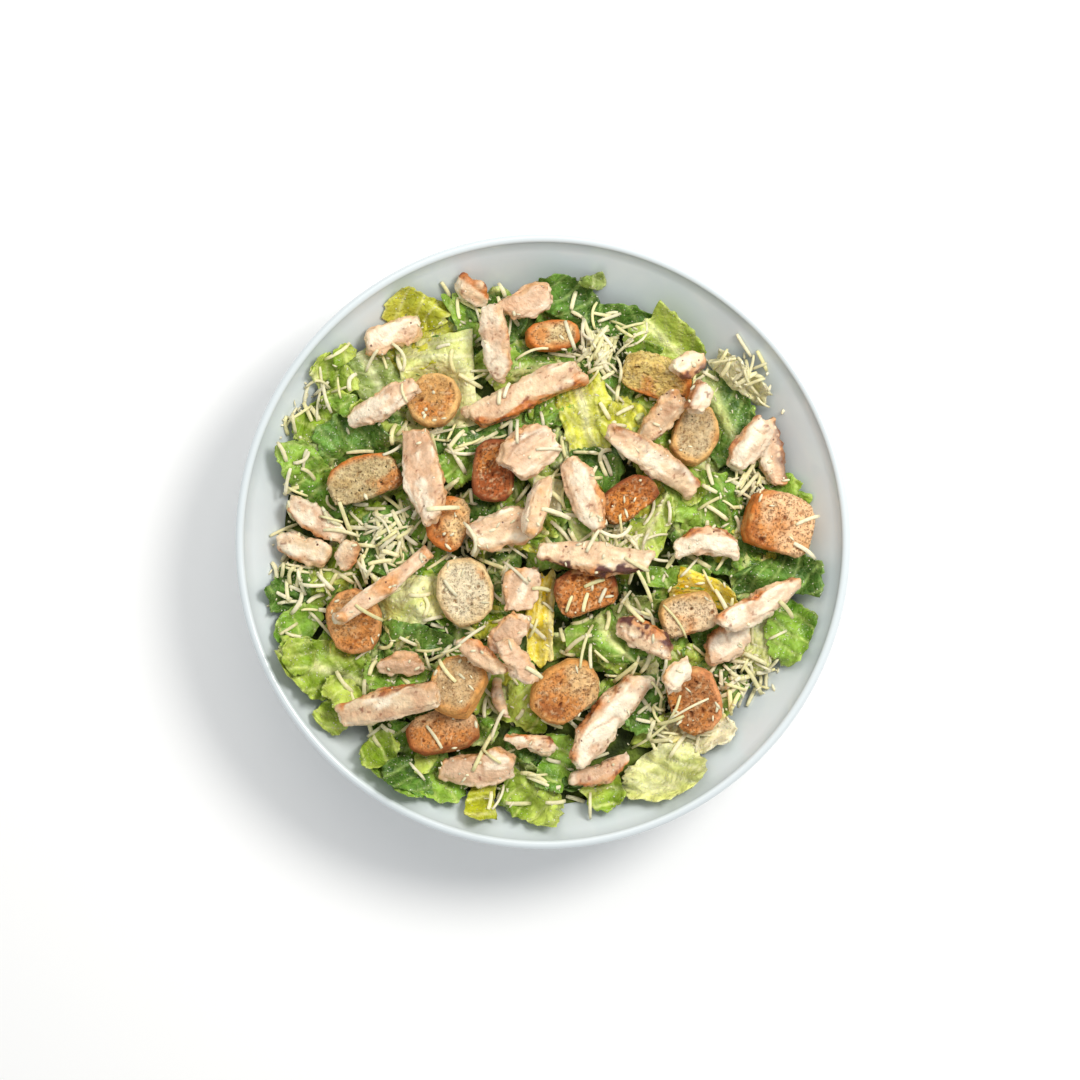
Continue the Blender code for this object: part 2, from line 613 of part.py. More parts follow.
def press_under(grid, rows, columns, thickness, undersides, tops):
    """Push a sheet down wherever it would cross a topping. Says whether it came clear."""
    faces = np.array(grid_triangles(rows, columns))
    room = thickness / 2 + TOPPING_CLEARANCE
    floor = wall_ground(grid[:, 0], grid[:, 1]) + thickness / 2
    for _ in range(PRESS_PASSES):
        grid[:, 2] = np.maximum(grid[:, 2], floor)
        samples, shares = surface_samples(grid, faces)
        cells = undersides.cells(samples)
        low = undersides.spread(np.minimum)[cells]
        high = tops.spread(np.maximum)[cells]
        height = samples[..., 2]
        crossing = (height + room > low) & (height - room < high)
        if not crossing.any():
            break
        depth = np.where(crossing, height + room - low + PRESS_MARGIN, 0)
        pull = depth[..., None] * shares / (shares ** 2).sum(axis=1)[:, None]
        drop = np.zeros(len(grid))
        np.maximum.at(drop, faces, pull.max(axis=1))
        grid[:, 2] -= drop
    return not crossing.any()


def shred_grid(x, y, heading, length, surface, rng):
    """A curved shred of cheese laid on a height map, its middle arched up: three pairs of points."""
    bend = rng.uniform(-SHRED_BEND, SHRED_BEND) * length
    rows = []
    for along in (-1, 0, 1):
        for side in (-1, 1):
            rows.append((along * length / 2, side * SHRED_WIDTH / 2 + bend * (1 - along ** 2), 0.0))
    grid = turn(np.array(rows), heading) + (x, y, 0.0)
    heights = surface.spread(np.maximum)[surface.cells(grid)].reshape(3, 2).max(axis=1)
    heights[1] = max(heights[1], heights[[0, 2]].mean()) + SHRED_ARCH
    grid[:, 2] = np.repeat(heights, 2)
    return grid


def place_for_shred(rng):
    """A spot for a shred: most lie in piles, the rest anywhere on the heap."""
    if rng.random() < SHREDS_IN_PILES:
        x, y, spread = rng.choice(CHEESE_PILES)
        return x + rng.gauss(0, spread / 2), y + rng.gauss(0, spread / 2)
    angle = rng.uniform(0, math.tau)
    radius = float(heap_reach(angle)) * math.sqrt(rng.random())
    return radius * math.cos(angle), radius * math.sin(angle)


def keep_largest_shell(shape):
    """Drop the loose scraps and sealed hollows that a union leaves."""
    shells = []
    left = set(shape.faces)
    while left:
        shell = [left.pop()]
        for face in shell:
            for edge in face.edges:
                for other in edge.link_faces:
                    if other in left:
                        left.remove(other)
                        shell.append(other)
        shells.append(shell)
    shells.sort(key=len)
    for shell in shells[:-1]:
        bmesh.ops.delete(shape, geom=shell, context="FACES")


def unite(core, pieces):
    """Join the pieces onto the core with one union and tidy what it leaves."""
    group = bpy.data.collections.new("pieces")
    bpy.context.scene.collection.children.link(group)
    for piece in pieces:
        bpy.context.scene.collection.objects.unlink(piece)
        group.objects.link(piece)
    union = core.modifiers.new("union", "BOOLEAN")
    union.operation = "UNION"
    union.operand_type = "COLLECTION"
    union.collection = group
    union.solver = "MANIFOLD"
    seen = core.evaluated_get(bpy.context.evaluated_depsgraph_get())
    joined = bpy.data.meshes.new_from_object(seen)
    core.modifiers.clear()
    shape = bmesh.new()
    shape.from_mesh(joined)
    keep_largest_shell(shape)
    bmesh.ops.dissolve_limit(
        shape, angle_limit=math.radians(FLAT_ANGLE), verts=shape.verts, edges=shape.edges
    )
    bmesh.ops.triangulate(shape, faces=shape.faces)
    shape.to_mesh(joined)
    shape.free()
    for piece in list(group.objects):
        bpy.data.objects.remove(piece)
    bpy.data.collections.remove(group)
    joined.materials.clear()
    joined.materials.append(core.data.materials[0])
    core.data = joined


def add_topping(name, shape, x, y, heading, roll, colour, below, undersides, tops):
    """Make a topping, let it down onto the heap and note where it lies."""
    points, faces = shape
    place, roll, pitch = settle(points, faces, x, y, heading, roll, below)
    made = solid(name, points, faces, colour, DRY)
    made.location = place
    made.rotation_euler = (math.radians(roll), math.radians(pitch), math.radians(heading))
    samples, _ = surface_samples(turn(points, heading, roll, pitch) + place, faces)
    for heights in (below, tops):
        heights.raise_to(samples)
    undersides.lower_to(samples)


def build():
    """Make the bowl, the toppings and the lettuce heap below them."""
    for old in list(bpy.data.objects):
        bpy.data.objects.remove(old)
    rng = random.Random(SEED)

    points, faces = lathe(bowl_profile(), BOWL_SEGMENTS)
    solid("bowl", points, faces, CERAMIC, GLOSSY)

    points, faces = heap_core()
    core = solid("lettuce", points, faces, LETTUCE, MOIST)
    core_samples, _ = surface_samples(np.array(points), faces, CORE_SAMPLES)

    below = HeightMap(wall_ground)
    below.raise_to(core_samples)
    undersides = HeightMap(lambda x, y: np.full_like(x, np.inf))
    tops = HeightMap(lambda x, y: np.full_like(x, -np.inf))
    for number, row in enumerate(CROUTONS, 1):
        x, y, length, width, thickness, heading, roll, squareness, cut, colour = row
        shape = crouton(length, width, thickness, squareness, cut, rng)
        name = f"crouton_{number:02d}"
        add_topping(name, shape, x, y, heading, roll, colour, below, undersides, tops)
    for number, row in enumerate(CHICKEN, 1):
        x, y, length, width, thickness, heading, bend, first_end, last_end = row
        shape = chicken_strip(length, width, thickness, bend, first_end, last_end, rng)
        name = f"chicken_{number:02d}"
        add_topping(name, shape, x, y, heading, 0, MEAT, below, undersides, tops)

    pieces = []
    surface = HeightMap(wall_ground)
    surface.raise_to(core_samples)
    for number, (shape, x, y, length, width, heading, lift) in enumerate(LEAVES, 1):
        grid, (rows, columns) = leaf_grid(shape, x, y, length, width, heading, lift, rng)
        if press_under(grid, rows, columns, LEAF_THICKNESS, undersides, tops):
            points, faces = thick_sheet(grid, rows, columns, LEAF_THICKNESS)
            pieces.append(solid(f"leaf_{number:02d}", points, faces, LETTUCE, MOIST))
            surface.raise_to(surface_samples(points, faces)[0])

    for number in range(SHRED_COUNT):
        x, y = place_for_shred(rng)
        length = rng.uniform(*SHRED_LENGTHS)
        grid = shred_grid(x, y, rng.uniform(0, 180), length, surface, rng)
        within = np.hypot(grid[:, 0], grid[:, 1]).max() < SHRED_REACH
        if within and press_under(grid, 3, 2, SHRED_THICKNESS, undersides, tops):
            points, faces = thick_sheet(grid, 3, 2, SHRED_THICKNESS)
            pieces.append(solid(f"shred_{number:02d}", points, faces, CHEESE, MOIST))
    unite(core, pieces)


build()
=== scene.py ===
"""Looks of the caesar salad: leaves, toasted bread, grilled chicken and shredded cheese in a glazed bowl.

Metres. +Z is up, +X and +Y are the right and the top of the picture, which is taken from above.
Colours are given as seen on a screen, from 0 to 255, and are turned into light values once.
"""
import itertools
import math
import random

import bmesh
import bpy
import numpy as np
from mathutils import Euler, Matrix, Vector

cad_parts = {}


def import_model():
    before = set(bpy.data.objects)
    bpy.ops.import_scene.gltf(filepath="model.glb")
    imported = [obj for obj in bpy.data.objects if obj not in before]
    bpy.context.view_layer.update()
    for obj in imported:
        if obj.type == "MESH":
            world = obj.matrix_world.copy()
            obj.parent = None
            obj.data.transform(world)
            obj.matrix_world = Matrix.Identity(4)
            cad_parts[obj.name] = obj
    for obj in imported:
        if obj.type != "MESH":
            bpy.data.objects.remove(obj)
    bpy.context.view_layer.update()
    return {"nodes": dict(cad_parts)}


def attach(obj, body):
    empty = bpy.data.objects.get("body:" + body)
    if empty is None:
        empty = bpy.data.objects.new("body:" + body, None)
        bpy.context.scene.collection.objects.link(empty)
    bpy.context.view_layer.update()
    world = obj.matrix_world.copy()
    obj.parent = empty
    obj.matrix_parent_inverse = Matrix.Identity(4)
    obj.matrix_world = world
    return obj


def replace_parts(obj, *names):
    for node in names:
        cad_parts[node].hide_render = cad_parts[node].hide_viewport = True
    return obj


SEED = 20

# The bowl and the bare heap, as the solids have them.
BOWL_HEIGHT = 0.068
LIP_OUTER_RADIUS = 0.135
LIP_THICKNESS = 0.004
FLOOR_RADIUS = 0.040
FLOOR_HEIGHT = 0.010
FOOT_OUTER_RADIUS = 0.052
FOOT_INNER_RADIUS = 0.046
FOOT_RECESS = 0.0035
FOOT_ROUNDING = 0.0008
FOOT_BEVEL = 0.0015
FOOT_BEND = 0.0012
UNDERSIDE_HEIGHT = 0.0055
WALL_CURVE = 1.7
LIP_RADIUS = LIP_THICKNESS / 2
WALL_TOP = BOWL_HEIGHT - LIP_RADIUS
WALL_TOP_RADIUS = LIP_OUTER_RADIUS - LIP_THICKNESS
BOWL_SEGMENTS = 256
WALL_STEPS = 26
LIP_STEPS = 12
FOOT_STEPS = 4

HEAP_REACH = (0.114, 0.103, 0.110, 0.114, 0.115, 0.113, 0.117, 0.112)
HEAP_PEAK = 0.062
HEAP_EDGE = 0.004
HEAP_DOME_POWER = 2.4
HEAP_BUMP = 0.0022
# The leaves need room, so the dark inside of the heap lies this far below the solid's top.
CORE_SINK = 0.0050
CORE_STEP = 0.0016
CORE_RINGS = int(0.115 / CORE_STEP)
CORE_RINGS_BELOW = 9
CORE_SEGMENTS = int(math.tau * 0.075 / CORE_STEP)
# Painted shade: the heap's inside is coloured dark for the shade deep among the leaves, mottled between
# these two tones.
DEEP_SHADE = (48, 60, 20)
LIT_SHADE = (104, 122, 42)

BOWL_CLEARANCE = 0.0006
TOPPING_CLEARANCE = 0.0005
LEAF_REACH = 0.1275
LEAF_ROOT = 0.0025
OUTER_LEAVES = 0.065
LEAF_THICKNESS = 0.0007
LEAF_STEP = 0.0009
LEAF_GAP = 0.0003
REIN_DEPTH = 0.006
# How far the leaves stay below the toppings: those between the leaves, the lowest and the highest.
FILLER_ROOM = 0.0025
LOWEST_LEAF_ROOM = 0.0022
HIGHEST_LEAF_ROOM = 0.0004
# How steeply a leaf may rise from under a topping.
CEILING_SLOPE = 1.1
CEILING_REACH = 0.009

MAP_CELL = 0.0005
MAP_REACH = 0.140
# Steps along a triangle's sides where its heights are taken, on the solids and on fine meshes.
SOLID_SAMPLES = 24
MESH_SAMPLES = 2

# Lettuce colours: blade, second blade tone, vein, and the rib or cut edge.
LEAF_COLOURS = {
    "dark": ((68, 104, 36), (104, 148, 56), (158, 188, 102), (204, 214, 138)),
    "green": ((98, 144, 40), (148, 186, 68), (198, 216, 122), (222, 228, 154)),
    "light": ((136, 168, 42), (190, 208, 92), (216, 226, 134), (230, 232, 168)),
    "yellow": ((186, 190, 36), (218, 218, 82), (238, 236, 150), (240, 238, 180)),
    "vivid": ((232, 196, 14), (250, 228, 70), (252, 240, 150), (250, 238, 170)),
    "pale": ((208, 214, 124), (234, 234, 172), (240, 238, 190), (222, 226, 132)),
    "cream": ((230, 222, 162), (246, 240, 200), (248, 242, 210), (242, 228, 140)),
    "sage": ((124, 146, 60), (160, 176, 98), (206, 214, 150), (226, 230, 176)),
}

# How the pieces of lettuce are shaped: fold along the middle, ruffle of the edge, droop of the
# ends, crumple, blisters between the veins, ridges along them, how torn the edge is, and how round
# the corners are.
LEAF_FORMS = {
    "square": (0.0016, 0.0003, 0.0012, 0.0008, 0.0002, 0.00010, 0.04, 0.0),
    "broad": (0.0012, 0.0007, 0.0010, 0.0012, 0.0006, 0.0, 0.14, 0.15),
    "ribbed": (0.0026, 0.0012, 0.0016, 0.0016, 0.0004, 0.00035, 0.16, 0.35),
    "torn": (0.0026, 0.0013, 0.0016, 0.0026, 0.0014, 0.0, 0.18, 0.55),
    "frill": (0.0018, 0.0024, 0.0010, 0.0027, 0.0019, 0.0, 0.18, 0.75),
    "scrap": (0.0014, 0.0012, 0.0010, 0.0018, 0.0008, 0.0, 0.20, 0.65),
}
NO_RIB = 2
RUFFLE_LENGTH = 0.0085
RIDGE_SPACING = 0.00042
VEIN_SPACING = (0.0055, 0.0080)
VEIN_WIDTH = 0.0006
RIB_HEIGHT = 0.0009
RIB_GROOVES = 0.00045

# Lettuce pieces, the lowest first: shape, colour, x, y, length, width, heading, how far the middle
# stands above the bare heap, and where the rib runs (0 the middle, 1 the edge, 2 not on it).
LEAVES = (
    ("torn", "yellow", -0.057, 0.101, 0.030, 0.018, -20, 0.003, 2),
    ("torn", "green", -0.035, 0.099, 0.026, 0.010, -62, 0.005, 2),
    ("scrap", "dark", -0.024, 0.104, 0.017, 0.012, 0, 0.003, 2),
    ("square", "sage", -0.074, 0.072, 0.029, 0.020, -60, 0.003, 0),
    ("torn", "light", -0.096, 0.076, 0.030, 0.016, -40, 0.003, 1),
    ("torn", "light", -0.097, 0.054, 0.028, 0.018, 30, 0.002, 2),
    ("frill", "dark", -0.086, 0.045, 0.033, 0.024, 10, 0.005, 2),
    ("torn", "green", -0.102, 0.029, 0.033, 0.018, -60, 0.006, 2),
    ("square", "pale", -0.046, 0.070, 0.042, 0.032, -84, 0.006, 2),
    ("scrap", "dark", -0.042, 0.044, 0.020, 0.016, 0, 0.002, 2),
    ("torn", "green", -0.038, 0.033, 0.020, 0.015, -50, 0.004, 2),
    ("torn", "dark", -0.070, 0.008, 0.027, 0.014, 12, 0.004, 2),
    ("torn", "green", 0.001, 0.083, 0.038, 0.016, 8, 0.005, 1),
    ("torn", "dark", 0.008, 0.108, 0.031, 0.020, -18, 0.005, 2),
    ("torn", "dark", 0.033, 0.098, 0.034, 0.015, -6, 0.004, 2),
    ("broad", "light", 0.056, 0.088, 0.032, 0.019, -42, 0.006, 0),
    ("scrap", "dark", 0.024, 0.076, 0.018, 0.013, 0, 0.001, 2),
    ("ribbed", "yellow", 0.018, 0.057, 0.036, 0.023, -75, 0.006, 0),
    ("torn", "yellow", 0.036, 0.053, 0.022, 0.018, 60, 0.004, 2),
    ("broad", "dark", 0.080, 0.055, 0.042, 0.028, -68, 0.005, 0),
    ("torn", "cream", 0.088, 0.072, 0.034, 0.010, -40, 0.003, 2),
    ("torn", "dark", 0.025, 0.033, 0.024, 0.015, -35, 0.004, 2),
    ("frill", "green", 0.074, 0.016, 0.034, 0.028, 20, 0.006, 2),
    ("torn", "light", 0.048, 0.008, 0.027, 0.016, 62, 0.005, 0),
    ("scrap", "green", 0.106, 0.024, 0.018, 0.012, -30, 0.003, 2),
    ("frill", "light", -0.091, -0.013, 0.026, 0.020, 20, 0.005, 2),
    ("torn", "dark", -0.070, -0.007, 0.024, 0.016, -15, 0.004, 2),
    ("frill", "dark", -0.110, -0.019, 0.024, 0.018, 60, 0.003, 2),
    ("broad", "pale", -0.056, -0.027, 0.032, 0.022, 25, 0.004, 0),
    ("torn", "green", -0.108, -0.038, 0.022, 0.017, 60, 0.003, 2),
    ("frill", "light", -0.097, -0.056, 0.044, 0.026, -22, 0.007, 0),
    ("torn", "dark", -0.056, -0.043, 0.030, 0.013, -12, 0.004, 2),
    ("torn", "green", -0.066, -0.059, 0.028, 0.013, 5, 0.003, 2),
    ("frill", "green", -0.064, -0.098, 0.037, 0.029, -30, 0.006, 2),
    ("scrap", "green", -0.062, -0.084, 0.013, 0.012, -60, 0.004, 2),
    ("frill", "yellow", -0.027, -0.114, 0.018, 0.014, 80, 0.005, 2),
    ("torn", "light", -0.007, -0.073, 0.024, 0.020, -20, 0.005, 2),
    ("scrap", "dark", -0.008, -0.046, 0.018, 0.013, -40, 0.002, 2),
    ("frill", "light", -0.006, -0.114, 0.034, 0.020, -25, 0.004, 2),
    ("ribbed", "vivid", -0.001, -0.034, 0.040, 0.012, 87, 0.006, 1),
    ("torn", "green", 0.031, -0.044, 0.030, 0.018, -50, 0.006, 0),
    ("scrap", "green", 0.015, -0.041, 0.017, 0.013, 60, 0.003, 2),
    ("torn", "green", 0.060, -0.016, 0.032, 0.012, 0, 0.004, 2),
    ("torn", "dark", 0.103, -0.014, 0.040, 0.017, 3, 0.004, 2),
    ("ribbed", "vivid", 0.072, -0.022, 0.028, 0.012, -18, 0.005, 2),
    ("ribbed", "pale", 0.094, -0.045, 0.024, 0.019, 75, 0.003, 2),
    ("frill", "green", 0.109, -0.040, 0.028, 0.020, 60, 0.003, 2),
    ("torn", "dark", 0.045, -0.072, 0.028, 0.016, 62, 0.003, 2),
    ("ribbed", "cream", 0.066, -0.084, 0.036, 0.020, 28, 0.003, 0),
    ("frill", "pale", 0.052, -0.104, 0.034, 0.022, 12, 0.004, 1),
    ("torn", "light", 0.028, -0.110, 0.018, 0.017, -50, 0.003, 2),
    ("torn", "green", 0.006, -0.098, 0.024, 0.017, 70, 0.004, 2),
    ("torn", "light", -0.092, -0.076, 0.024, 0.014, 50, 0.003, 2),
    ("scrap", "light", -0.088, 0.082, 0.012, 0.008, 40, 0.004, 2),
    ("scrap", "green", -0.089, 0.060, 0.012, 0.009, -20, 0.007, 2),
    ("scrap", "light", -0.080, 0.057, 0.011, 0.009, 60, 0.007, 2),
    ("torn", "green", 0.043, 0.084, 0.018, 0.011, -30, 0.008, 2),
    ("scrap", "green", 0.092, 0.028, 0.012, 0.008, 10, 0.006, 2),
    ("scrap", "light", 0.001, 0.007, 0.011, 0.009, 0, 0.012, 2),
    ("scrap", "light", -0.028, -0.001, 0.012, 0.009, 50, 0.010, 2),
    ("square", "cream", 0.002, 0.020, 0.016, 0.014, 80, 0.016, 2),
    ("scrap", "yellow", 0.024, 0.020, 0.012, 0.007, -75, 0.012, 2),
    ("scrap", "dark", 0.016, -0.101, 0.016, 0.010, 60, 0.006, 2),
    ("scrap", "sage", 0.042, -0.030, 0.020, 0.012, 30, 0.005, 2),
    ("scrap", "sage", 0.0215, 0.1145, 0.012, 0.006, 6, 0.001, 2),
    ("torn", "green", -0.043, -0.108, 0.022, 0.015, 10, 0.004, 2),
    ("frill", "light", -0.072, -0.092, 0.020, 0.014, 50, 0.006, 2),
    ("frill", "dark", -0.058, -0.104, 0.022, 0.014, -30, 0.007, 2),
    ("scrap", "light", -0.052, -0.096, 0.012, 0.009, 70, 0.008, 2),
    ("frill", "light", -0.108, -0.050, 0.018, 0.014, 80, 0.006, 2),
    ("frill", "light", -0.088, -0.066, 0.018, 0.012, -30, 0.009, 2),
    ("scrap", "light", 0.066, 0.022, 0.014, 0.011, 30, 0.009, 2),
)
FILLER_COUNT = 230
FILLER_SINK = 0.0035
FILLER_STEP = 0.0012
FILLER_LENGTHS = (0.014, 0.028)
FILLER_WIDTHS = (0.010, 0.018)
FILLER_LIFTS = (0.002, 0.005)
FILLER_COLOURS = {"dark": 6, "green": 6, "light": 4, "yellow": 1, "pale": 1.5, "sage": 1.5}

# Croutons by number: crumb, crust, share of dark herb specks, how toasted and on which side, size of its
# holes, share of large ones, and the side and half spread in degrees where its crust shows.
CREAM_CRUMB = (232, 212, 170)
ORANGE_CRUMB = (212, 134, 62)
BROWN_CRUMB = (160, 88, 42)
LIGHT_CRUST = (232, 184, 116)
TAN_CRUST = (222, 158, 86)
ORANGE_CRUST = (214, 124, 52)
RED_BROWN = (144, 76, 40)
CROUTON_LOOKS = {
    1: ((226, 202, 150), ORANGE_CRUST, 0.0, 0.4, 180, 0.0015, 0.26, 0, 180),
    2: ((208, 156, 92), LIGHT_CRUST, 0.8, 0.4, -60, 0.0011, 0.10, 0, 180),
    3: ((210, 186, 136), ORANGE_CRUST, 1.0, 0.0, 0, 0.0013, 0.12, 115, 65),
    4: ((178, 96, 46), RED_BROWN, 0.2, 0.5, 90, 0.0012, 0.40, 0, 180),
    5: ((246, 208, 150), ORANGE_CRUST, 0.0, 0.8, 200, 0.0016, 0.20, 180, 110),
    6: ((232, 204, 124), ORANGE_CRUST, 0.3, 0.3, -90, 0.0012, 0.14, -80, 90),
    7: ((208, 184, 142), LIGHT_CRUST, 1.0, 0.0, 0, 0.0012, 0.12, 0, 180),
    8: ((206, 130, 56), RED_BROWN, 0.0, 0.9, 80, 0.0012, 0.34, 90, 100),
    9: ((250, 200, 150), ORANGE_CRUST, 0.05, 0.3, 180, 0.0017, 0.28, 180, 80),
    10: ((220, 162, 100), (226, 160, 100), 0.5, 0.5, -40, 0.0012, 0.20, 0, 180),
    11: ((238, 222, 186), (238, 210, 156), 0.6, 0.0, 0, 0.0012, 0.10, 0, 180),
    12: ((228, 182, 132), BROWN_CRUMB, 0.3, 0.6, -90, 0.0012, 0.16, -90, 100),
    13: ((206, 174, 128), TAN_CRUST, 0.1, 0.1, 0, 0.0012, 0.10, 0, 180),
    14: ((206, 132, 70), RED_BROWN, 0.1, 0.6, 40, 0.0015, 0.36, 90, 90),
    15: ((234, 206, 166), LIGHT_CRUST, 0.7, 0.1, -90, 0.0013, 0.16, 120, 80),
    16: ((186, 122, 70), (232, 158, 104), 0.2, 0.5, 200, 0.0013, 0.24, 20, 80),
    17: ((228, 186, 130), TAN_CRUST, 0.3, 0.8, 225, 0.0013, 0.20, 150, 120),
}
CRUST_WIDTH = 0.0015
CRUST_HEIGHT = 0.00035
CRUST_FADE = 14
LARGE_HOLE = 0.0018
SMALL_HOLE = 0.0007
ROUNDING_PASSES = 4
CROUTON_SEED_STEP = 37
CROUTON_VOXEL = 0.0006

# Slices of chicken by number: meat, how browned, which long side is browned, how charred.
MEAT = (236, 207, 168)
PALE_MEAT = (246, 229, 200)
PINK_MEAT = (236, 203, 168)
ROSY_MEAT = (222, 186, 152)
CHICKEN_LOOKS = {
    1: (ROSY_MEAT, 0.1, 1, 0.0),
    2: (PALE_MEAT, 0.2, 1, 0.0),
    3: (MEAT, 1.0, -1, 0.0),
    4: (PINK_MEAT, 0.1, -1, 0.0),
    5: (MEAT, 0.7, 1, 0.1),
    6: (PINK_MEAT, 0.0, 1, 0.0),
    7: (ROSY_MEAT, 0.1, 1, 0.0),
    8: (PALE_MEAT, 0.3, -1, 0.0),
    9: (MEAT, 0.4, -1, 0.0),
    10: (MEAT, 0.3, 1, 0.0),
    11: (MEAT, 0.3, -1, 0.0),
    12: (PALE_MEAT, 0.0, 1, 0.0),
    13: (PINK_MEAT, 0.1, 1, 0.1),
    14: (PINK_MEAT, 0.3, 1, 0.0),
    15: (MEAT, 0.5, -1, 0.8),
    16: (PINK_MEAT, 0.1, 1, 0.0),
    17: (ROSY_MEAT, 0.1, 1, 0.0),
    18: (MEAT, 0.5, -1, 0.5),
    19: (MEAT, 0.3, 1, 0.2),
    20: (PALE_MEAT, 0.4, 1, 0.2),
    21: (MEAT, 0.4, 1, 0.2),
    22: (PINK_MEAT, 0.3, 1, 0.4),
    23: (PALE_MEAT, 0.5, 1, 0.0),
    24: (PALE_MEAT, 0.6, 1, 0.0),
    25: (PINK_MEAT, 0.2, 1, 0.0),
    26: (ROSY_MEAT, 0.3, 1, 0.0),
    27: (MEAT, 0.6, 1, 0.1),
    28: (MEAT, 0.5, 1, 0.0),
    29: (PINK_MEAT, 0.2, 1, 0.0),
    30: (PINK_MEAT, 0.4, -1, 0.1),
    31: (ROSY_MEAT, 0.1, 1, 0.0),
    32: (MEAT, 0.7, 1, 0.0),
    33: (MEAT, 0.6, 1, 0.8),
    34: (PINK_MEAT, 0.3, 1, 0.2),
    35: (PALE_MEAT, 0.6, 1, 0.0),
    36: (PALE_MEAT, 0.0, 1, 0.0),
    37: (ROSY_MEAT, 0.7, -1, 0.1),
    38: (PALE_MEAT, 0.5, 1, 0.0),
}
# Darker meat for random patches, and painted shade in the grooves.
DARK_MEAT_AND_SHADE = (210, 167, 130)
# Painted highlight on the raised ridges and near the edge.
MEAT_HIGHLIGHT = (252, 238, 212)
# Painted shade in the splits.
SPLIT_SHADE = (178, 126, 86)
SEARED_EDGE = (230, 176, 116)
BROWNED = (206, 122, 54)
BURNT = (132, 66, 36)
CHAR = (82, 40, 42)
RAGGED_EDGE = 0.0013
FLAP_HEIGHT = 0.0008
RIDGE_HEIGHT = 0.0005
GRAIN_HEIGHT = 0.00016
SPLIT_DEPTH = 0.0007
CHICKEN_VOXEL = 0.0007
CHICKEN_SEED_STEP = 53

# Shredded cheese: where it lies thickest (x, y, spread, share), and how the shreds measure.
CHEESE_PILES = (
    (0.026, 0.084, 0.012, 3),
    (-0.068, 0.003, 0.018, 3),
    (0.092, 0.024, 0.010, 2),
    (0.090, 0.072, 0.015, 2),
    (-0.106, 0.060, 0.018, 2),
    (-0.032, -0.001, 0.012, 2),
    (0.056, -0.075, 0.014, 2),
    (0.030, 0.003, 0.010, 2),
    (-0.045, 0.048, 0.013, 1),
    (-0.104, -0.020, 0.018, 2),
    (0.088, -0.058, 0.012, 2),
    (0.035, -0.030, 0.012, 1),
    (-0.040, -0.055, 0.012, 1),
)
LOW_SHREDS = 780
LOW_LENGTHS = (0.005, 0.016, 0.008)
TOP_SHREDS = 40
TOP_LENGTHS = (0.006, 0.020, 0.010)
CURLED_SHARE = 0.12
CURLED_BEND = 0.17
USUAL_BEND = 0.04
SHREDS_IN_PILES = 0.50

# Leaves that carry little cheese: x, y and reach.
BARE_SPOTS = (
    (-0.047, 0.078, 0.018),
    (-0.076, 0.066, 0.013),
    (-0.088, 0.045, 0.016),
    (0.080, 0.056, 0.017),
    (0.056, 0.090, 0.014),
    (0.008, 0.110, 0.014),
    (0.018, 0.057, 0.014),
    (-0.097, -0.056, 0.015),
    (-0.064, -0.100, 0.017),
    (0.052, -0.106, 0.016),
    (0.103, -0.014, 0.013),
    (0.109, -0.042, 0.013),
)
SHARE_ON_BARE = 0.2
SHRED_WIDTH = 0.0018
SHRED_WIDTHS = (0.6, 1.15)
SHRED_TAPER = 0.22
SHRED_THICKNESS = 0.0012
SHRED_STEPS = 7
SHRED_SLOPE = 0.6
SHRED_SECTION = ((1, 0.2), (0.75, 1), (-0.75, 1), (-1, 0.2), (-0.85, -0.9), (0.85, -0.9))
SHRED_REACH = 0.1265
CRUMB_COUNT = 900
CRUMB_SIZES = (0.0003, 0.0007)
TOP_CRUMB_COUNT = 340
TOP_CRUMB_SIZES = (0.0004, 0.0009)
CHEESE = (240, 232, 196)

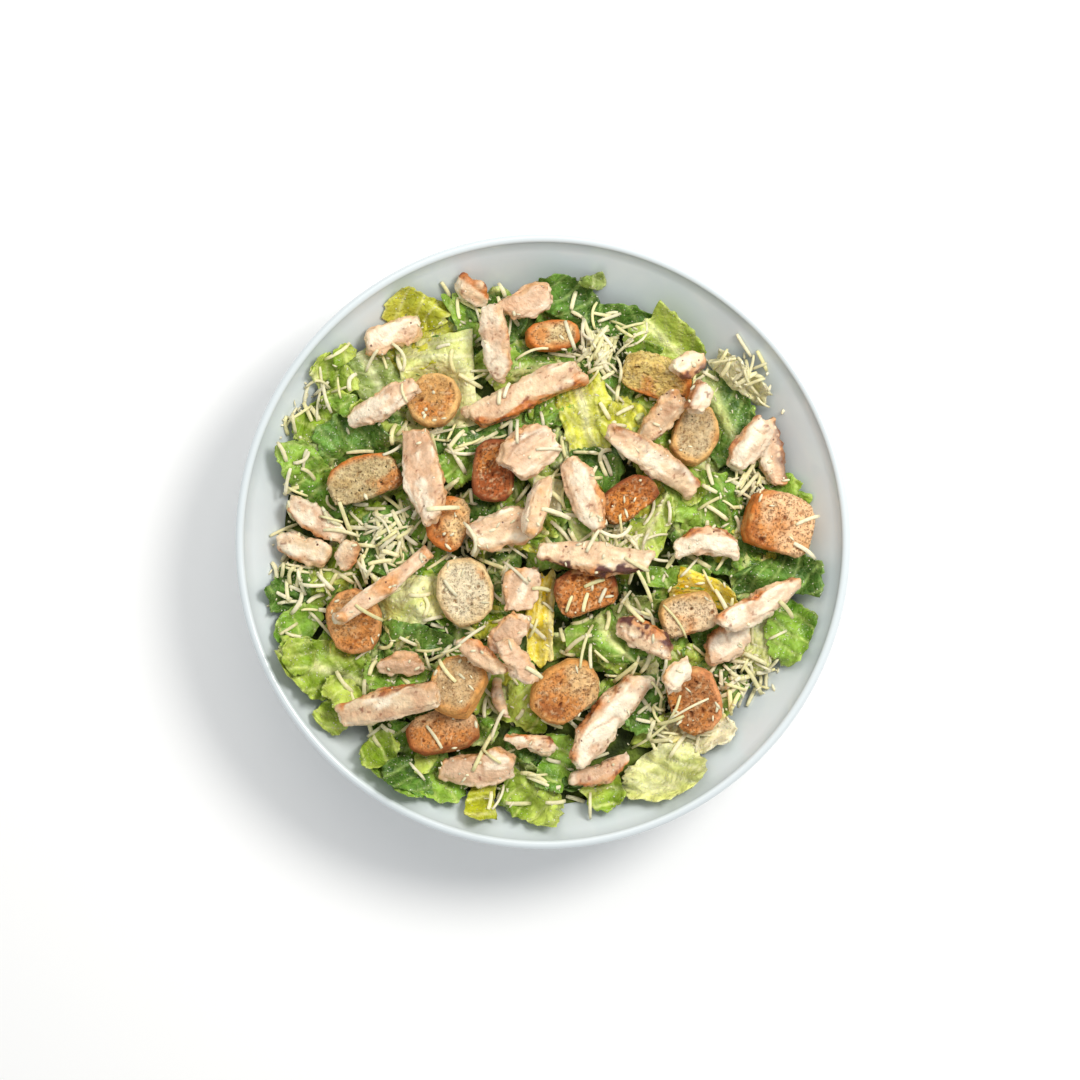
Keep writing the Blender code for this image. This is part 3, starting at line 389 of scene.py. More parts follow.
# Single shreds on top of everything: x, y, heading, length, bend.
PLACED_SHREDS = (
    (-0.0430, 0.1112, -60, 0.0075, 0.04),
    (-0.0182, 0.1112, -65, 0.0070, 0.05),
    (0.0136, 0.1068, 75, 0.0085, 0.02),
    (0.0149, 0.1005, -30, 0.0055, 0.03),
    (-0.0048, 0.0823, 18, 0.0150, 0.10),
    (0.0390, 0.0954, 15, 0.0120, 0.02),
    (-0.0189, 0.0630, 85, 0.0065, 0.04),
    (-0.0158, 0.0660, 70, 0.0070, 0.05),
    (-0.0640, 0.0809, -70, 0.0130, 0.22),
    (-0.0382, 0.0445, 50, 0.0110, 0.03),
    (-0.0110, 0.0472, 90, 0.0100, 0.02),
    (0.0026, 0.0397, 0, 0.0110, 0.04),
    (0.0092, 0.0415, 100, 0.0100, 0.05),
    (0.0333, 0.0656, 80, 0.0075, 0.06),
    (-0.0752, 0.0796, 60, 0.0110, 0.04),
    (-0.0698, 0.0788, -70, 0.0060, 0.02),
    (-0.0807, 0.0393, 3, 0.0120, 0.03),
    (-0.1120, 0.0262, 75, 0.0120, 0.03),
    (-0.0989, 0.0594, 85, 0.0130, 0.04),
    (-0.1151, 0.0050, 25, 0.0125, 0.02),
    (-0.0954, 0.0116, -65, 0.0075, 0.05),
    (-0.0395, 0.0384, -60, 0.0095, 0.04),
    (-0.0360, 0.0333, -60, 0.0075, 0.02),
    (0.0215, 0.0002, 60, 0.0110, 0.02),
    (0.0441, -0.0195, -65, 0.0150, 0.03),
    (0.0224, -0.0182, 20, 0.0095, 0.04),
    (0.0114, -0.0272, 70, 0.0075, 0.02),
    (0.0185, -0.0265, 75, 0.0085, 0.03),
    (0.0260, -0.0235, 65, 0.0070, 0.02),
    (0.0575, -0.0349, -55, 0.0175, 0.06),
    (0.1157, 0.0092, 20, 0.0110, 0.04),
    (0.1144, -0.0042, -35, 0.0120, 0.05),
    (0.1061, -0.0298, -50, 0.0100, 0.06),
    (0.1035, -0.0413, 25, 0.0085, 0.02),
    (-0.0263, -0.0923, 62, 0.0190, 0.02),
    (-0.0475, -0.0853, -55, 0.0120, 0.03),
    (0.0498, -0.0796, 50, 0.0320, -0.12),
    (0.0209, -0.0501, 90, 0.0105, 0.03),
    (-0.0313, -0.0410, 35, 0.0150, 0.02),
    (-0.0039, -0.0564, -35, 0.0085, 0.04),
    (0.0209, -0.1165, 90, 0.0115, 0.02),
    (-0.0553, -0.1009, -50, 0.0100, 0.03),
    (-0.0325, 0.0010, -75, 0.0150, 0.20),
)

# Light: name, place, size and power. The main light stands to the upper right.
LIGHTS = (
    ("main_light", (0.56, 0.38, 1.08), 0.42, 10.2),
    ("top_light", (-0.10, 0.66, 1.04), 0.90, 3.6),
)
LIGHT_COLOUR = (1.0, 0.975, 0.93)
SKY_COLOUR = (0.97, 0.99, 1.0)
SKY_STRENGTH = 0.59
CAMERA_CENTRE = (-0.0013, 0.0006)
CAMERA_HEIGHT = 1.117
CAMERA_LENS = 85
CAMERA_SENSOR = 36
FLOOR_REACH = 3.0


def linear(colour):
    """Screen colour, 0 to 255, as light values."""
    share = np.asarray(colour, dtype=float) / 255
    return np.where(share <= 0.04045, share / 12.92, ((share + 0.055) / 1.055) ** 2.4)


def smooth(low, high, value):
    """0 below low, 1 above high, eased between them."""
    share = np.clip((value - low) / (high - low), 0, 1)
    return share * share * (3 - 2 * share)


def noise(points, cell, seed):
    """Smooth seeded noise from -1 to 1, with lumps about one cell across."""
    places = np.asarray(points, dtype=float) / cell
    base = np.floor(places).astype(np.int64)
    part = places - base
    part = part * part * (3 - 2 * part)
    total = np.zeros(places.shape[:-1])
    for corner in itertools.product((0, 1), repeat=3):
        spot = base + np.array(corner)
        mixed = (spot[..., 0] * 374761393 + spot[..., 1] * 668265263
                 + spot[..., 2] * 1440662683 + seed * 1013904223) & 0xFFFFFFFF
        mixed = ((mixed ^ (mixed >> 13)) * 1274126177) & 0xFFFFFFFF
        mixed = mixed ^ (mixed >> 16)
        weight = np.prod(np.where(np.array(corner) == 1, part, 1 - part), axis=-1)
        total += weight * (mixed / 2147483648.0 - 1)
    return total


def inner_height(radius):
    """Height of the bowl's inner wall at a radius."""
    share = (radius - FLOOR_RADIUS) / (WALL_TOP_RADIUS - FLOOR_RADIUS)
    return FLOOR_HEIGHT + (WALL_TOP - FLOOR_HEIGHT) * np.clip(share, 0, None) ** WALL_CURVE


def outer_height(radius):
    """Height of the bowl's underside at a radius."""
    share = (radius - FOOT_OUTER_RADIUS) / (LIP_OUTER_RADIUS - FOOT_OUTER_RADIUS)
    return UNDERSIDE_HEIGHT + (WALL_TOP - UNDERSIDE_HEIGHT) * np.clip(share, 0, None) ** WALL_CURVE


def heap_reach(angle):
    """How far the heap goes in one direction."""
    place = (angle / math.tau * len(HEAP_REACH)) % len(HEAP_REACH)
    low = np.floor(place).astype(int) % len(HEAP_REACH)
    part = place - np.floor(place)
    ease = part * part * (3 - 2 * part)
    reaches = np.array(HEAP_REACH)
    return reaches[low] * (1 - ease) + reaches[(low + 1) % len(HEAP_REACH)] * ease


def heap_top(x, y):
    """Height of the bare heap, which stays level beyond its own edge."""
    reach = heap_reach(np.arctan2(y, x))
    share = np.minimum(np.hypot(x, y) / reach, 1.0)
    edge = inner_height(reach) + HEAP_EDGE
    dome = edge + (HEAP_PEAK - edge) * (1 - share ** HEAP_DOME_POWER)
    waves = np.sin(95 * x + 0.6) * np.cos(88 * y) + np.sin(170 * x - 120 * y)
    return dome + HEAP_BUMP * waves * (1 - share ** 6)


def wall_ground(x, y):
    """The lowest that anything may lie on the bowl's inner wall."""
    return inner_height(np.hypot(x, y)) + BOWL_CLEARANCE


def ground(x, y):
    """The bare heap, or the bowl's wall where that is higher."""
    return np.maximum(heap_top(x, y), wall_ground(x, y))


def neighbours(grid):
    """A grid moved by one cell in every direction, and the length of each move in cells."""
    padded = np.pad(grid, 1, mode="edge")
    rows, columns = grid.shape
    for row, column in itertools.product(range(3), repeat=2):
        yield padded[row:row + rows, column:column + columns], math.hypot(row - 1, column - 1)


def between(points, times):
    """Points between neighbours along an array's first axis."""
    shares = np.linspace(0, 1, times, endpoint=False).reshape(-1, *[1] * points.ndim)
    return np.concatenate(points[:-1] * (1 - shares) + points[1:] * shares)


class HeightMap:
    """Heights over a square grid of cells, seen from straight above."""

    def __init__(self, start):
        self.steps = int(2 * MAP_REACH / MAP_CELL) + 1
        axis = np.linspace(-MAP_REACH, MAP_REACH, self.steps)
        self.x, self.y = np.meshgrid(axis, axis, indexing="ij")
        self.height = start(self.x, self.y)

    def cells(self, points):
        """Grid rows and columns of points."""
        places = np.rint((points[..., :2] + MAP_REACH) / MAP_CELL).astype(int)
        places = np.clip(places, 0, self.steps - 1)
        return places[..., 0], places[..., 1]

    def raise_to(self, points):
        """Lift the cells under the points to their heights."""
        np.maximum.at(self.height, self.cells(points), points[..., 2])

    def lower_to(self, points):
        """Drop the cells above the points to their heights."""
        np.minimum.at(self.height, self.cells(points), points[..., 2])

    def slope_down(self, reach, slope):
        """Let heights rise no steeper than a slope round every low cell, as far as the reach."""
        for _ in range(round(reach / MAP_CELL)):
            views = [view + away * MAP_CELL * slope for view, away in neighbours(self.height)]
            self.height = np.minimum.reduce(views)

    def at(self, points):
        """Heights under points."""
        return self.height[self.cells(points)]


def vertices_of(mesh):
    """A mesh's points as an array."""
    flat = np.empty(len(mesh.vertices) * 3)
    mesh.vertices.foreach_get("co", flat)
    return flat.reshape(-1, 3)


def normals_of(mesh):
    """Normals at a mesh's points."""
    flat = np.empty(len(mesh.vertices) * 3, dtype=np.float32)
    mesh.vertex_normals.foreach_get("vector", flat)
    return flat.reshape(-1, 3).astype(float)


def triangles_of(mesh):
    """A mesh's triangles as an array of point numbers."""
    mesh.calc_loop_triangles()
    flat = np.empty(len(mesh.loop_triangles) * 3, dtype=np.int32)
    mesh.loop_triangles.foreach_get("vertices", flat)
    return flat.reshape(-1, 3)


def surface_samples(mesh, steps):
    """Points spread over a mesh's triangles, with this many steps along each side."""
    shares = np.array([
        (first / steps, second / steps, (steps - first - second) / steps)
        for first in range(steps + 1)
        for second in range(steps + 1 - first)
    ])
    corners = vertices_of(mesh)[triangles_of(mesh)]
    return np.einsum("sk,fkc->fsc", shares, corners).reshape(-1, 3)


def linked(name, data):
    """An object in the scene, of a mesh, a lamp or a camera."""
    made = bpy.data.objects.new(name, data)
    bpy.context.scene.collection.objects.link(made)
    return made


def mesh_object(name, points, faces, tint=None):
    """An object from points and faces, with a colour for every point."""
    mesh = bpy.data.meshes.new(name)
    mesh.from_pydata(points.tolist(), [], faces)
    mesh.validate()
    if tint is not None:
        paint(mesh, tint)
    mesh.shade_smooth()
    return linked(name, mesh)


def paint(mesh, tint, name="tint"):
    """Keep a colour for every point of the mesh, for its material to read."""
    layer = mesh.color_attributes.new(name, "FLOAT_COLOR", "POINT")
    values = np.ones((len(mesh.vertices), 4))
    values[:, :3] = np.clip(tint, 0, 1)
    layer.data.foreach_set("color", values.ravel())


def mix(first, second, share):
    """Colours moved from the first towards the second."""
    return first + (second - first) * np.asarray(share)[..., None]


def coat(tint, colour, share, most=1.0):
    """Colours moved towards a screen colour by a share, up to the most."""
    return mix(tint, linear(colour), np.clip(share, 0, most))


def turn(points, heading):
    """Points turned about Z."""
    matrix = Euler((0, 0, math.radians(heading))).to_matrix()
    return points @ np.array(matrix).T


def grid_faces(rows, columns):
    """Squares over a grid of points."""
    corner = np.arange(rows * columns).reshape(rows, columns)
    low, high = corner[:-1], corner[1:]
    return np.stack((low[:, :-1], high[:, :-1], high[:, 1:], low[:, 1:]), axis=-1).reshape(-1, 4)


def thick_sheet(grid, thickness):
    """Points and squares of a closed sheet round a grid of points."""
    rows, columns = grid.shape[:2]
    flat = grid.reshape(-1, 3)
    up = np.array((0.0, 0.0, thickness / 2))
    upper = grid_faces(rows, columns)
    lower = upper[:, ::-1] + len(flat)
    corner = np.arange(len(flat)).reshape(rows, columns)
    rim = np.concatenate((corner[0, :-1], corner[:-1, -1], corner[-1, :0:-1], corner[:0:-1, 0]))
    after = np.roll(rim, -1)
    sides = np.stack((rim, after, after + len(flat), rim + len(flat)), axis=-1)
    return np.concatenate((flat + up, flat - up)), np.concatenate((upper, lower, sides)).tolist()


class Heap:
    """Pieces of one kind, gathered to become one object."""

    def __init__(self):
        self.points = []
        self.faces = []
        self.tints = []
        self.count = 0

    def add(self, points, faces, tint):
        """Take in one more piece."""
        self.points.append(points)
        self.faces += [[corner + self.count for corner in face] for face in faces]
        self.tints.append(np.broadcast_to(tint, points.shape))
        self.count += len(points)

    def make(self, name):
        """The object of all the pieces."""
        return mesh_object(name, np.concatenate(self.points), self.faces, np.concatenate(self.tints))


# Materials.


def screen(*colour):
    """A screen colour as a shader's socket takes it."""
    return (*linear(colour), 1.0)


class Look:
    """A material and short calls for its nodes. Sizes of patterns are in metres."""

    def __init__(self, name):
        self.material = bpy.data.materials.new(name)
        self.material.use_nodes = True
        self.nodes = self.material.node_tree.nodes
        self.place = self.add("TexCoord").outputs["Object"]

    def fill(self, node, inputs):
        """Set a node's inputs to numbers or colours, or link them."""
        for name, value in inputs.items():
            if isinstance(value, bpy.types.NodeSocket):
                self.material.node_tree.links.new(value, node.inputs[name])
            else:
                node.inputs[name].default_value = value

    def add(self, kind, inputs=None, **settings):
        """A node with its settings and its inputs."""
        node = self.nodes.new("ShaderNode" + kind)
        for name, value in settings.items():
            setattr(node, name, value)
        self.fill(node, inputs or {})
        return node

    def finish(self, inputs, light_depth=None):
        """The material, once its surface has its inputs and lets light in a little."""
        if light_depth:
            weight, radius, scale = light_depth
            inputs["Subsurface Weight"] = weight
            inputs["Subsurface Radius"] = radius
            inputs["Subsurface Scale"] = scale
        self.fill(self.nodes["Principled BSDF"], inputs)
        return self.material

    def painted(self, layer="tint"):
        """The colours that the mesh's points carry."""
        return self.add("VertexColor", layer_name=layer).outputs["Color"]

    def mix(self, factor, first, second, blend="MIX"):
        """A colour mix."""
        inputs = {"Factor": factor, 6: first, 7: second}
        return self.add("Mix", inputs, data_type="RGBA", blend_type=blend).outputs[2]

    def times(self, first, second):
        """Two numbers multiplied."""
        return self.add("Math", {0: first, 1: second}, operation="MULTIPLY").outputs[0]

    def ramp(self, value, low, high, start=0.0, end=1.0):
        """A number eased from start to end while value goes from low to high."""
        inputs = {"Value": value, "From Min": low, "From Max": high, "To Min": start, "To Max": end}
        return self.add("MapRange", inputs, interpolation_type="SMOOTHSTEP").outputs["Result"]

    def noise(self, size, detail=3.0, output="Fac"):
        """Cloudy noise with lumps of one size."""
        inputs = {"Scale": 1 / size, "Detail": detail, "Vector": self.place}
        return self.add("TexNoise", inputs).outputs[output]

    def clouded(self, size, detail, darkest, lightest):
        """The painted colours, made darker and lighter by noise."""
        tone = self.ramp(self.noise(size, detail), 0.3, 0.7, darkest, lightest)
        return self.mix(1.0, self.painted(), tone, "MULTIPLY")

    def moved(self, size, reach):
        """Places shifted by noise, for uneven shapes."""
        inputs = {0: self.noise(size, 1.0, "Color"), 1: (reach, reach, reach), 2: self.place}
        return self.add("VectorMath", inputs, operation="MULTIPLY_ADD").outputs[0]

    def cells(self, place, size, feature="F1"):
        """Cells of one size: what a pattern of them gives out."""
        return self.add("TexVoronoi", {"Scale": 1 / size, "Vector": place}, feature=feature).outputs

    def specks(self, place, size, reach, share):
        """Scattered round specks: their size against a cell, and the share of cells that has one."""
        cells = self.cells(place, size)
        red = self.add("SeparateColor", {"Color": cells["Color"]}).outputs["Red"]
        chosen = self.ramp(red, share, share + 0.02, 1.0, 0.0)
        return self.times(chosen, self.ramp(cells["Distance"], reach * 0.6, reach, 1.0, 0.0))

    def bump(self, height, distance, before=None):
        """A bump of a height in metres, on top of another."""
        inputs = {"Height": height, "Distance": distance, "Strength": 1.0}
        if before is not None:
            inputs["Normal"] = before
        return self.add("Bump", inputs).outputs["Normal"]


def leaf_material():
    """Lettuce: a faint net of veins, fine crumple, specks of cheese, and an oily gloss in places."""
    look = Look("lettuce_leaf")
    warp = look.moved(size=0.004, reach=0.0022)
    edge = look.cells(warp, 0.0034, "DISTANCE_TO_EDGE")["Distance"]
    specks = look.specks(warp, size=0.0012, reach=0.34, share=0.15)
    colour = look.clouded(size=0.005, detail=3.0, darkest=0.74, lightest=1.24)
    colour = look.mix(look.ramp(edge, 0.01, 0.08, 0.12, 0.0), colour, screen(214, 222, 140))
    colour = look.mix(specks, colour, screen(232, 232, 204))
    normal = look.bump(look.ramp(edge, 0.0, 0.35), 0.00025)
    normal = look.bump(look.noise(size=0.0019, detail=4.0), 0.0006, normal)
    normal = look.bump(specks, 0.0004, normal)
    gloss = look.ramp(look.noise(size=0.0025), 0.40, 0.62, 0.14, 0.46)
    inputs = {"Base Color": colour, "Roughness": gloss, "Specular IOR Level": 0.35, "Normal": normal}
    return look.finish(inputs, (0.10, (0.6, 1.0, 0.2), 0.0015))


def shade_material():
    """The inside of the heap: painted shade, dark colours for leaves too deep to show more than their tone.
    """
    look = Look("lettuce_shade")
    colour = look.clouded(size=0.003, detail=3.0, darkest=0.7, lightest=1.2)
    normal = look.bump(look.noise(size=0.0015, detail=4.0), 0.001)
    return look.finish({"Base Color": colour, "Roughness": 0.6, "Specular IOR Level": 0.2, "Normal": normal})


def bread_material():
    """Toasted bread: fine pores in the crumb, darkened as painted shade, and dark specks of herbs."""
    look = Look("toasted_bread")
    parts = look.add("SeparateColor", {"Color": look.painted("mask")}).outputs
    moved = look.moved(size=0.0012, reach=0.0016)
    pores = look.times(look.specks(moved, size=0.0010, reach=0.52, share=0.62), parts["Red"])
    herbs = look.times(look.specks(moved, size=0.0017, reach=0.38, share=0.36), parts["Green"])
    colour = look.clouded(size=0.0022, detail=5.0, darkest=0.80, lightest=1.16)
    # Painted shade: the pores are darkened to brown.
    colour = look.mix(look.times(pores, 0.75), colour, screen(140, 80, 38))
    colour = look.mix(herbs, colour, screen(70, 58, 28))
    normal = look.bump(look.ramp(pores, 0.0, 1.0, 1.0, 0.0), 0.0007)
    normal = look.bump(look.noise(size=0.0008, detail=4.0), 0.0008, normal)
    inputs = {"Base Color": colour, "Roughness": 0.75, "Specular IOR Level": 0.3, "Normal": normal}
    return look.finish(inputs, (0.06, (1.0, 0.6, 0.3), 0.0008))


def meat_material():
    """Grilled chicken: fine grain, a few dark specks and a moist, low gloss."""
    look = Look("grilled_chicken")
    moved = look.moved(size=0.0015, reach=0.0010)
    specks = look.specks(moved, size=0.0034, reach=0.17, share=0.12)
    crumbs = look.specks(moved, size=0.0026, reach=0.26, share=0.10)
    colour = look.clouded(size=0.0035, detail=5.0, darkest=0.84, lightest=1.12)
    colour = look.mix(specks, colour, screen(104, 62, 44))
    colour = look.mix(crumbs, colour, screen(244, 232, 204))
    normal = look.bump(look.noise(size=0.0016, detail=5.0), 0.0008)
    normal = look.bump(crumbs, 0.0004, normal)
    gloss = look.ramp(look.noise(size=0.003), 0.35, 0.65, 0.20, 0.48)
    inputs = {"Base Color": colour, "Roughness": gloss, "Specular IOR Level": 0.45, "Normal": normal}
    return look.finish(inputs, (0.10, (1.0, 0.6, 0.4), 0.0010))


def cheese_material():
    """Shredded hard cheese: waxy, slightly translucent, faintly grainy."""
    look = Look("hard_cheese")
    colour = look.clouded(size=0.002, detail=3.0, darkest=0.90, lightest=1.06)
    normal = look.bump(look.noise(size=0.0008), 0.0002)
    inputs = {"Base Color": colour, "Roughness": 0.45, "Normal": normal}
    return look.finish(inputs, (0.2, (1.0, 0.85, 0.5), 0.001))


def glaze_material():
    """White glazed stoneware, faintly uneven."""
    look = Look("white_glaze")
    return look.finish({
        "Base Color": look.mix(look.noise(size=0.06), screen(209, 217, 220), screen(216, 224, 227)),
        "Roughness": look.ramp(look.noise(size=0.02), 0.3, 0.7, 0.16, 0.24),
        "Normal": look.bump(look.noise(size=0.03, detail=1.0), 0.0003),
        "Coat Weight": 0.4,
        "Coat Roughness": 0.05,
    })


def floor_material():
    """Plain matt white."""
    look = Look("floor_white")
    cloud = look.noise(size=0.4, detail=1.0)
    colour = look.mix(cloud, (0.93, 0.93, 0.93, 1.0), (0.95, 0.95, 0.95, 1.0))
    return look.finish({"Base Color": colour, "Roughness": 0.9})


# The bowl and the dark inside of the heap.


def arc(middle, height, radius, start, end, steps):
    """Points of a rounding in the bowl's section, with its angles in half turns."""
    angles = [math.pi * (start + (end - start) * step / steps) for step in range(steps + 1)]
    return [(middle + radius * math.cos(angle), height + radius * math.sin(angle)) for angle in angles]


def bowl_profile():
    """The bowl's section, from the recess under it round the lip to the middle of the floor."""
    profile = [(0.0, FOOT_RECESS), (FOOT_INNER_RADIUS - FOOT_BEVEL, FOOT_RECESS)]
    profile += arc(FOOT_INNER_RADIUS + FOOT_ROUNDING, FOOT_ROUNDING, FOOT_ROUNDING, 1, 1.5, FOOT_STEPS)
    profile += arc(FOOT_OUTER_RADIUS - FOOT_ROUNDING, FOOT_ROUNDING, FOOT_ROUNDING, 1.5, 2, FOOT_STEPS)
    for radius in np.linspace(FOOT_OUTER_RADIUS + FOOT_BEND, LIP_OUTER_RADIUS, WALL_STEPS + 1):
        profile.append((radius, outer_height(radius)))
    profile += arc(LIP_OUTER_RADIUS - LIP_RADIUS, WALL_TOP, LIP_RADIUS, 0, 1, LIP_STEPS)[1:-1]
    for radius in np.linspace(WALL_TOP_RADIUS, FLOOR_RADIUS, WALL_STEPS + 1):
        profile.append((radius, inner_height(radius)))
    return np.array(profile + [(0.0, FLOOR_HEIGHT)])


def closed_rings(rings, bottom, top):
    """Points and faces of a closed form: rings of points, and a height to close each end at."""
    segments = rings.shape[1]
    points = np.concatenate(([(0.0, 0.0, bottom)], rings.reshape(-1, 3), [(0.0, 0.0, top)]))
    last = len(points) - 1
    faces = []
    for step in range(segments):
        after = (step + 1) % segments
        faces.append((0, 1 + after, 1 + step))
        faces.append((last - segments + step, last - segments + after, last))
        for low in range(1, last - segments, segments):
            high = low + segments
            faces.append((low + step, low + after, high + after, high + step))
    return points, faces


def make_bowl():
    """The bowl, turned finely."""
    profile = bowl_profile()
    angles = np.arange(BOWL_SEGMENTS) * math.tau / BOWL_SEGMENTS
    radius = profile[1:-1, :1]
    height = np.repeat(profile[1:-1, 1:], BOWL_SEGMENTS, axis=1)
    rings = np.stack((radius * np.cos(angles), radius * np.sin(angles), height), axis=-1)
    made = mesh_object("white_bowl", *closed_rings(rings, profile[0, 1], profile[-1, 1]))
    made.data.materials.append(glaze_material())
    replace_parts(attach(made, "root"), "bowl")


def core_top(x, y):
    """Top of the dark inside of the heap, crumpled like leaves deep in shade."""
    place = np.stack((x, y, np.zeros_like(x)), axis=-1)
    crumple = 0.0016 * noise(place, 0.007, 5) + 0.0009 * noise(place, 0.003, 6)
    return np.maximum(heap_top(x, y) - CORE_SINK + crumple, wall_ground(x, y))


def make_core():
    """The inside of the heap, closed along the bowl's wall."""
    angles = np.arange(CORE_SEGMENTS) * math.tau / CORE_SEGMENTS
    below = np.linspace(0.1, 1, CORE_RINGS_BELOW)
    radius = np.concatenate((below, np.linspace(1, 0.01, CORE_RINGS)))[:, None] * heap_reach(angles)
    x, y = radius * np.cos(angles), radius * np.sin(angles)
    height = np.where(np.arange(len(x))[:, None] < CORE_RINGS_BELOW, wall_ground(x, y), core_top(x, y))
    middle = np.zeros(1)
    rings = np.stack((x, y, height), axis=-1)
    points, faces = closed_rings(rings, FLOOR_HEIGHT + BOWL_CLEARANCE, core_top(middle, middle)[0])
    patch = smooth(-0.4, 0.6, noise(points, 0.005, 8))
    return mesh_object("lettuce_inside", points, faces, mix(linear(DEEP_SHADE), linear(LIT_SHADE), patch))


# Lettuce.


def leaf_relief(shape, along, across, length, width, rib, rng):
    """How a piece of lettuce stands out of its own plane, and how much each point is vein, rib or
    raised blade; the raised blade also sets the painted shade in the hollows and dips."""
    fold, ruffle, droop, crumple, blister, ridge, _, _ = LEAF_FORMS[shape]
    seed = rng.randrange(10000)
    x, y = along * length / 2, across * width / 2
    flat = np.stack((x, y, np.zeros_like(x)), axis=-1)
    edge = np.maximum(np.abs(along), np.abs(across))
    spacing = rng.uniform(*VEIN_SPACING)
    warp = 0.0016 * noise(flat, 0.008, seed)
    if rib < NO_RIB:
        side = rng.choice((-1, 1)) * rib * 0.78 * width / 2
        half = (0.0007 + 0.055 * width) * (1 - 0.35 * along)
        ribs = np.exp(-((y - side + warp * 0.4) / half) ** 2)
        veined = 0.75 * x + 0.95 * np.abs(y - side) + warp
    else:
        bearing = rng.uniform(-0.7, 0.7)
        ribs = np.zeros_like(x)
        veined = math.cos(bearing) * x + math.sin(bearing) * y + warp
    phase = veined / spacing
    away = np.abs(phase - np.rint(phase)) * spacing
    veins = np.exp(-(away / VEIN_WIDTH) ** 2) * (1 - ribs)
    bulge_and_shade = np.abs(np.sin(math.pi * phase)) ** 0.8
    round_it = np.arctan2(y, x) * (length + width) / 4
    waves = np.sin(math.tau * round_it / RUFFLE_LENGTH + rng.uniform(0, math.tau))
    ridges = np.sin(y / RIDGE_SPACING + 3 * warp / 0.0016)
    veins = np.maximum(veins, 0.7 * smooth(0.2, 0.9, ridges) * min(ridge / 0.0003, 1))
    small = noise(flat, 0.0055, seed + 2)
    relief = (
        fold * (np.abs(across) - 0.5)
        + ruffle * (waves * edge ** 3 + np.sin(4.5 * along + 2.6 * across + rng.uniform(0, math.tau)))
        - droop * along ** 2
        + 1.3 * crumple * noise(flat, 0.013, seed + 1)
        + 0.55 * crumple * small
        + (RIB_GROOVES * ribs + ridge) * ridges
        + blister * (bulge_and_shade + 0.25 * noise(flat, 0.0025, seed + 3))
        + RIB_HEIGHT * ribs
    )
    # Painted shade: the low places of the crumple darken the leaf's colour.
    shaded_dips = smooth(0.2, -0.7, small) * min(crumple / 0.0020, 1)
    return relief, veins, ribs, bulge_and_shade * (1 - 0.6 * shaded_dips)


def leaf_plan(shape, along, across, rng):
    """A piece of lettuce from above, in halves of its length and width, with its edge torn."""
    tear, roundness = LEAF_FORMS[shape][-2:]
    x = along * np.sqrt(1 - roundness * across ** 2 / 2)
    y = across * np.sqrt(1 - roundness * along ** 2 / 2)
    angle = np.arctan2(y, x)
    ring = np.stack((np.cos(angle), np.sin(angle), np.zeros_like(angle)), axis=-1)
    seed = rng.randrange(10000)
    torn = noise(ring, 0.9, seed) + 0.6 * noise(ring, 0.35, seed + 1) + 0.45 * noise(ring, 0.12, seed + 2)
    swell = 1 + tear * torn * np.maximum(np.abs(along), np.abs(across)) ** 3
    taper, bow = (1.7 * tear * rng.uniform(-1, 1) for _ in range(2))
    y = y * (1 + taper * along) + bow * along ** 2
    return x * swell, y * swell


def leaf_tint(colours, points, along, across, veins, ribs, bulge_and_shade, rng):
    """Colour of each point of a piece of lettuce, with painted shade in the hollows and a painted highlight
    along the edge.
    """
    blade, second, vein, pale = (linear(colour) for colour in LEAF_COLOURS[colours])
    seed = rng.randrange(10000)
    lean = rng.uniform(-0.6, 0.6)
    patch = smooth(-0.7, 0.7, noise(points, 0.010, seed) + lean * along * 2)
    tint = mix(blade, second, patch)
    # Painted shade: the hollows between the raised blade are darkened.
    tint = mix(tint, tint * 0.62, (1 - bulge_and_shade) * 0.7 * (1 - ribs))
    lifted = smooth(0.1, 0.8, noise(points, 0.014, seed + 2))
    tint = mix(tint, second * 1.15, 0.6 * lifted)
    tint = mix(tint, vein, 0.8 * veins)
    tint = mix(tint, pale, 0.95 * ribs)
    edge = np.maximum(np.abs(along), np.abs(across))
    # Painted highlight: patches along the leaf's edge are lightened towards the vein colour.
    lit = smooth(0.90, 1.0, edge) * smooth(-0.3, 0.5, noise(points, 0.006, seed + 1))
    return mix(tint, vein, 0.45 * lit)


def ease_off(amount, passes=3):
    """Widen and soften a push given on a grid, never below what is asked."""
    soft = np.maximum.reduce([view for view, _ in neighbours(amount)])
    for _ in range(passes):
        soft = sum(view for view, _ in neighbours(soft)) / 9
    return np.maximum(soft, amount)


def rein_in(x, y):
    """Keep points inside the bowl, drawing the far ones together."""
    radius = np.maximum(np.hypot(x, y), 1e-6)
    start = LEAF_REACH - REIN_DEPTH
    beyond = np.maximum(radius - start, 0)
    held = np.where(beyond > 0, start + REIN_DEPTH * (1 - np.exp(-beyond / REIN_DEPTH)), radius)
    return x * held / radius, y * held / radius


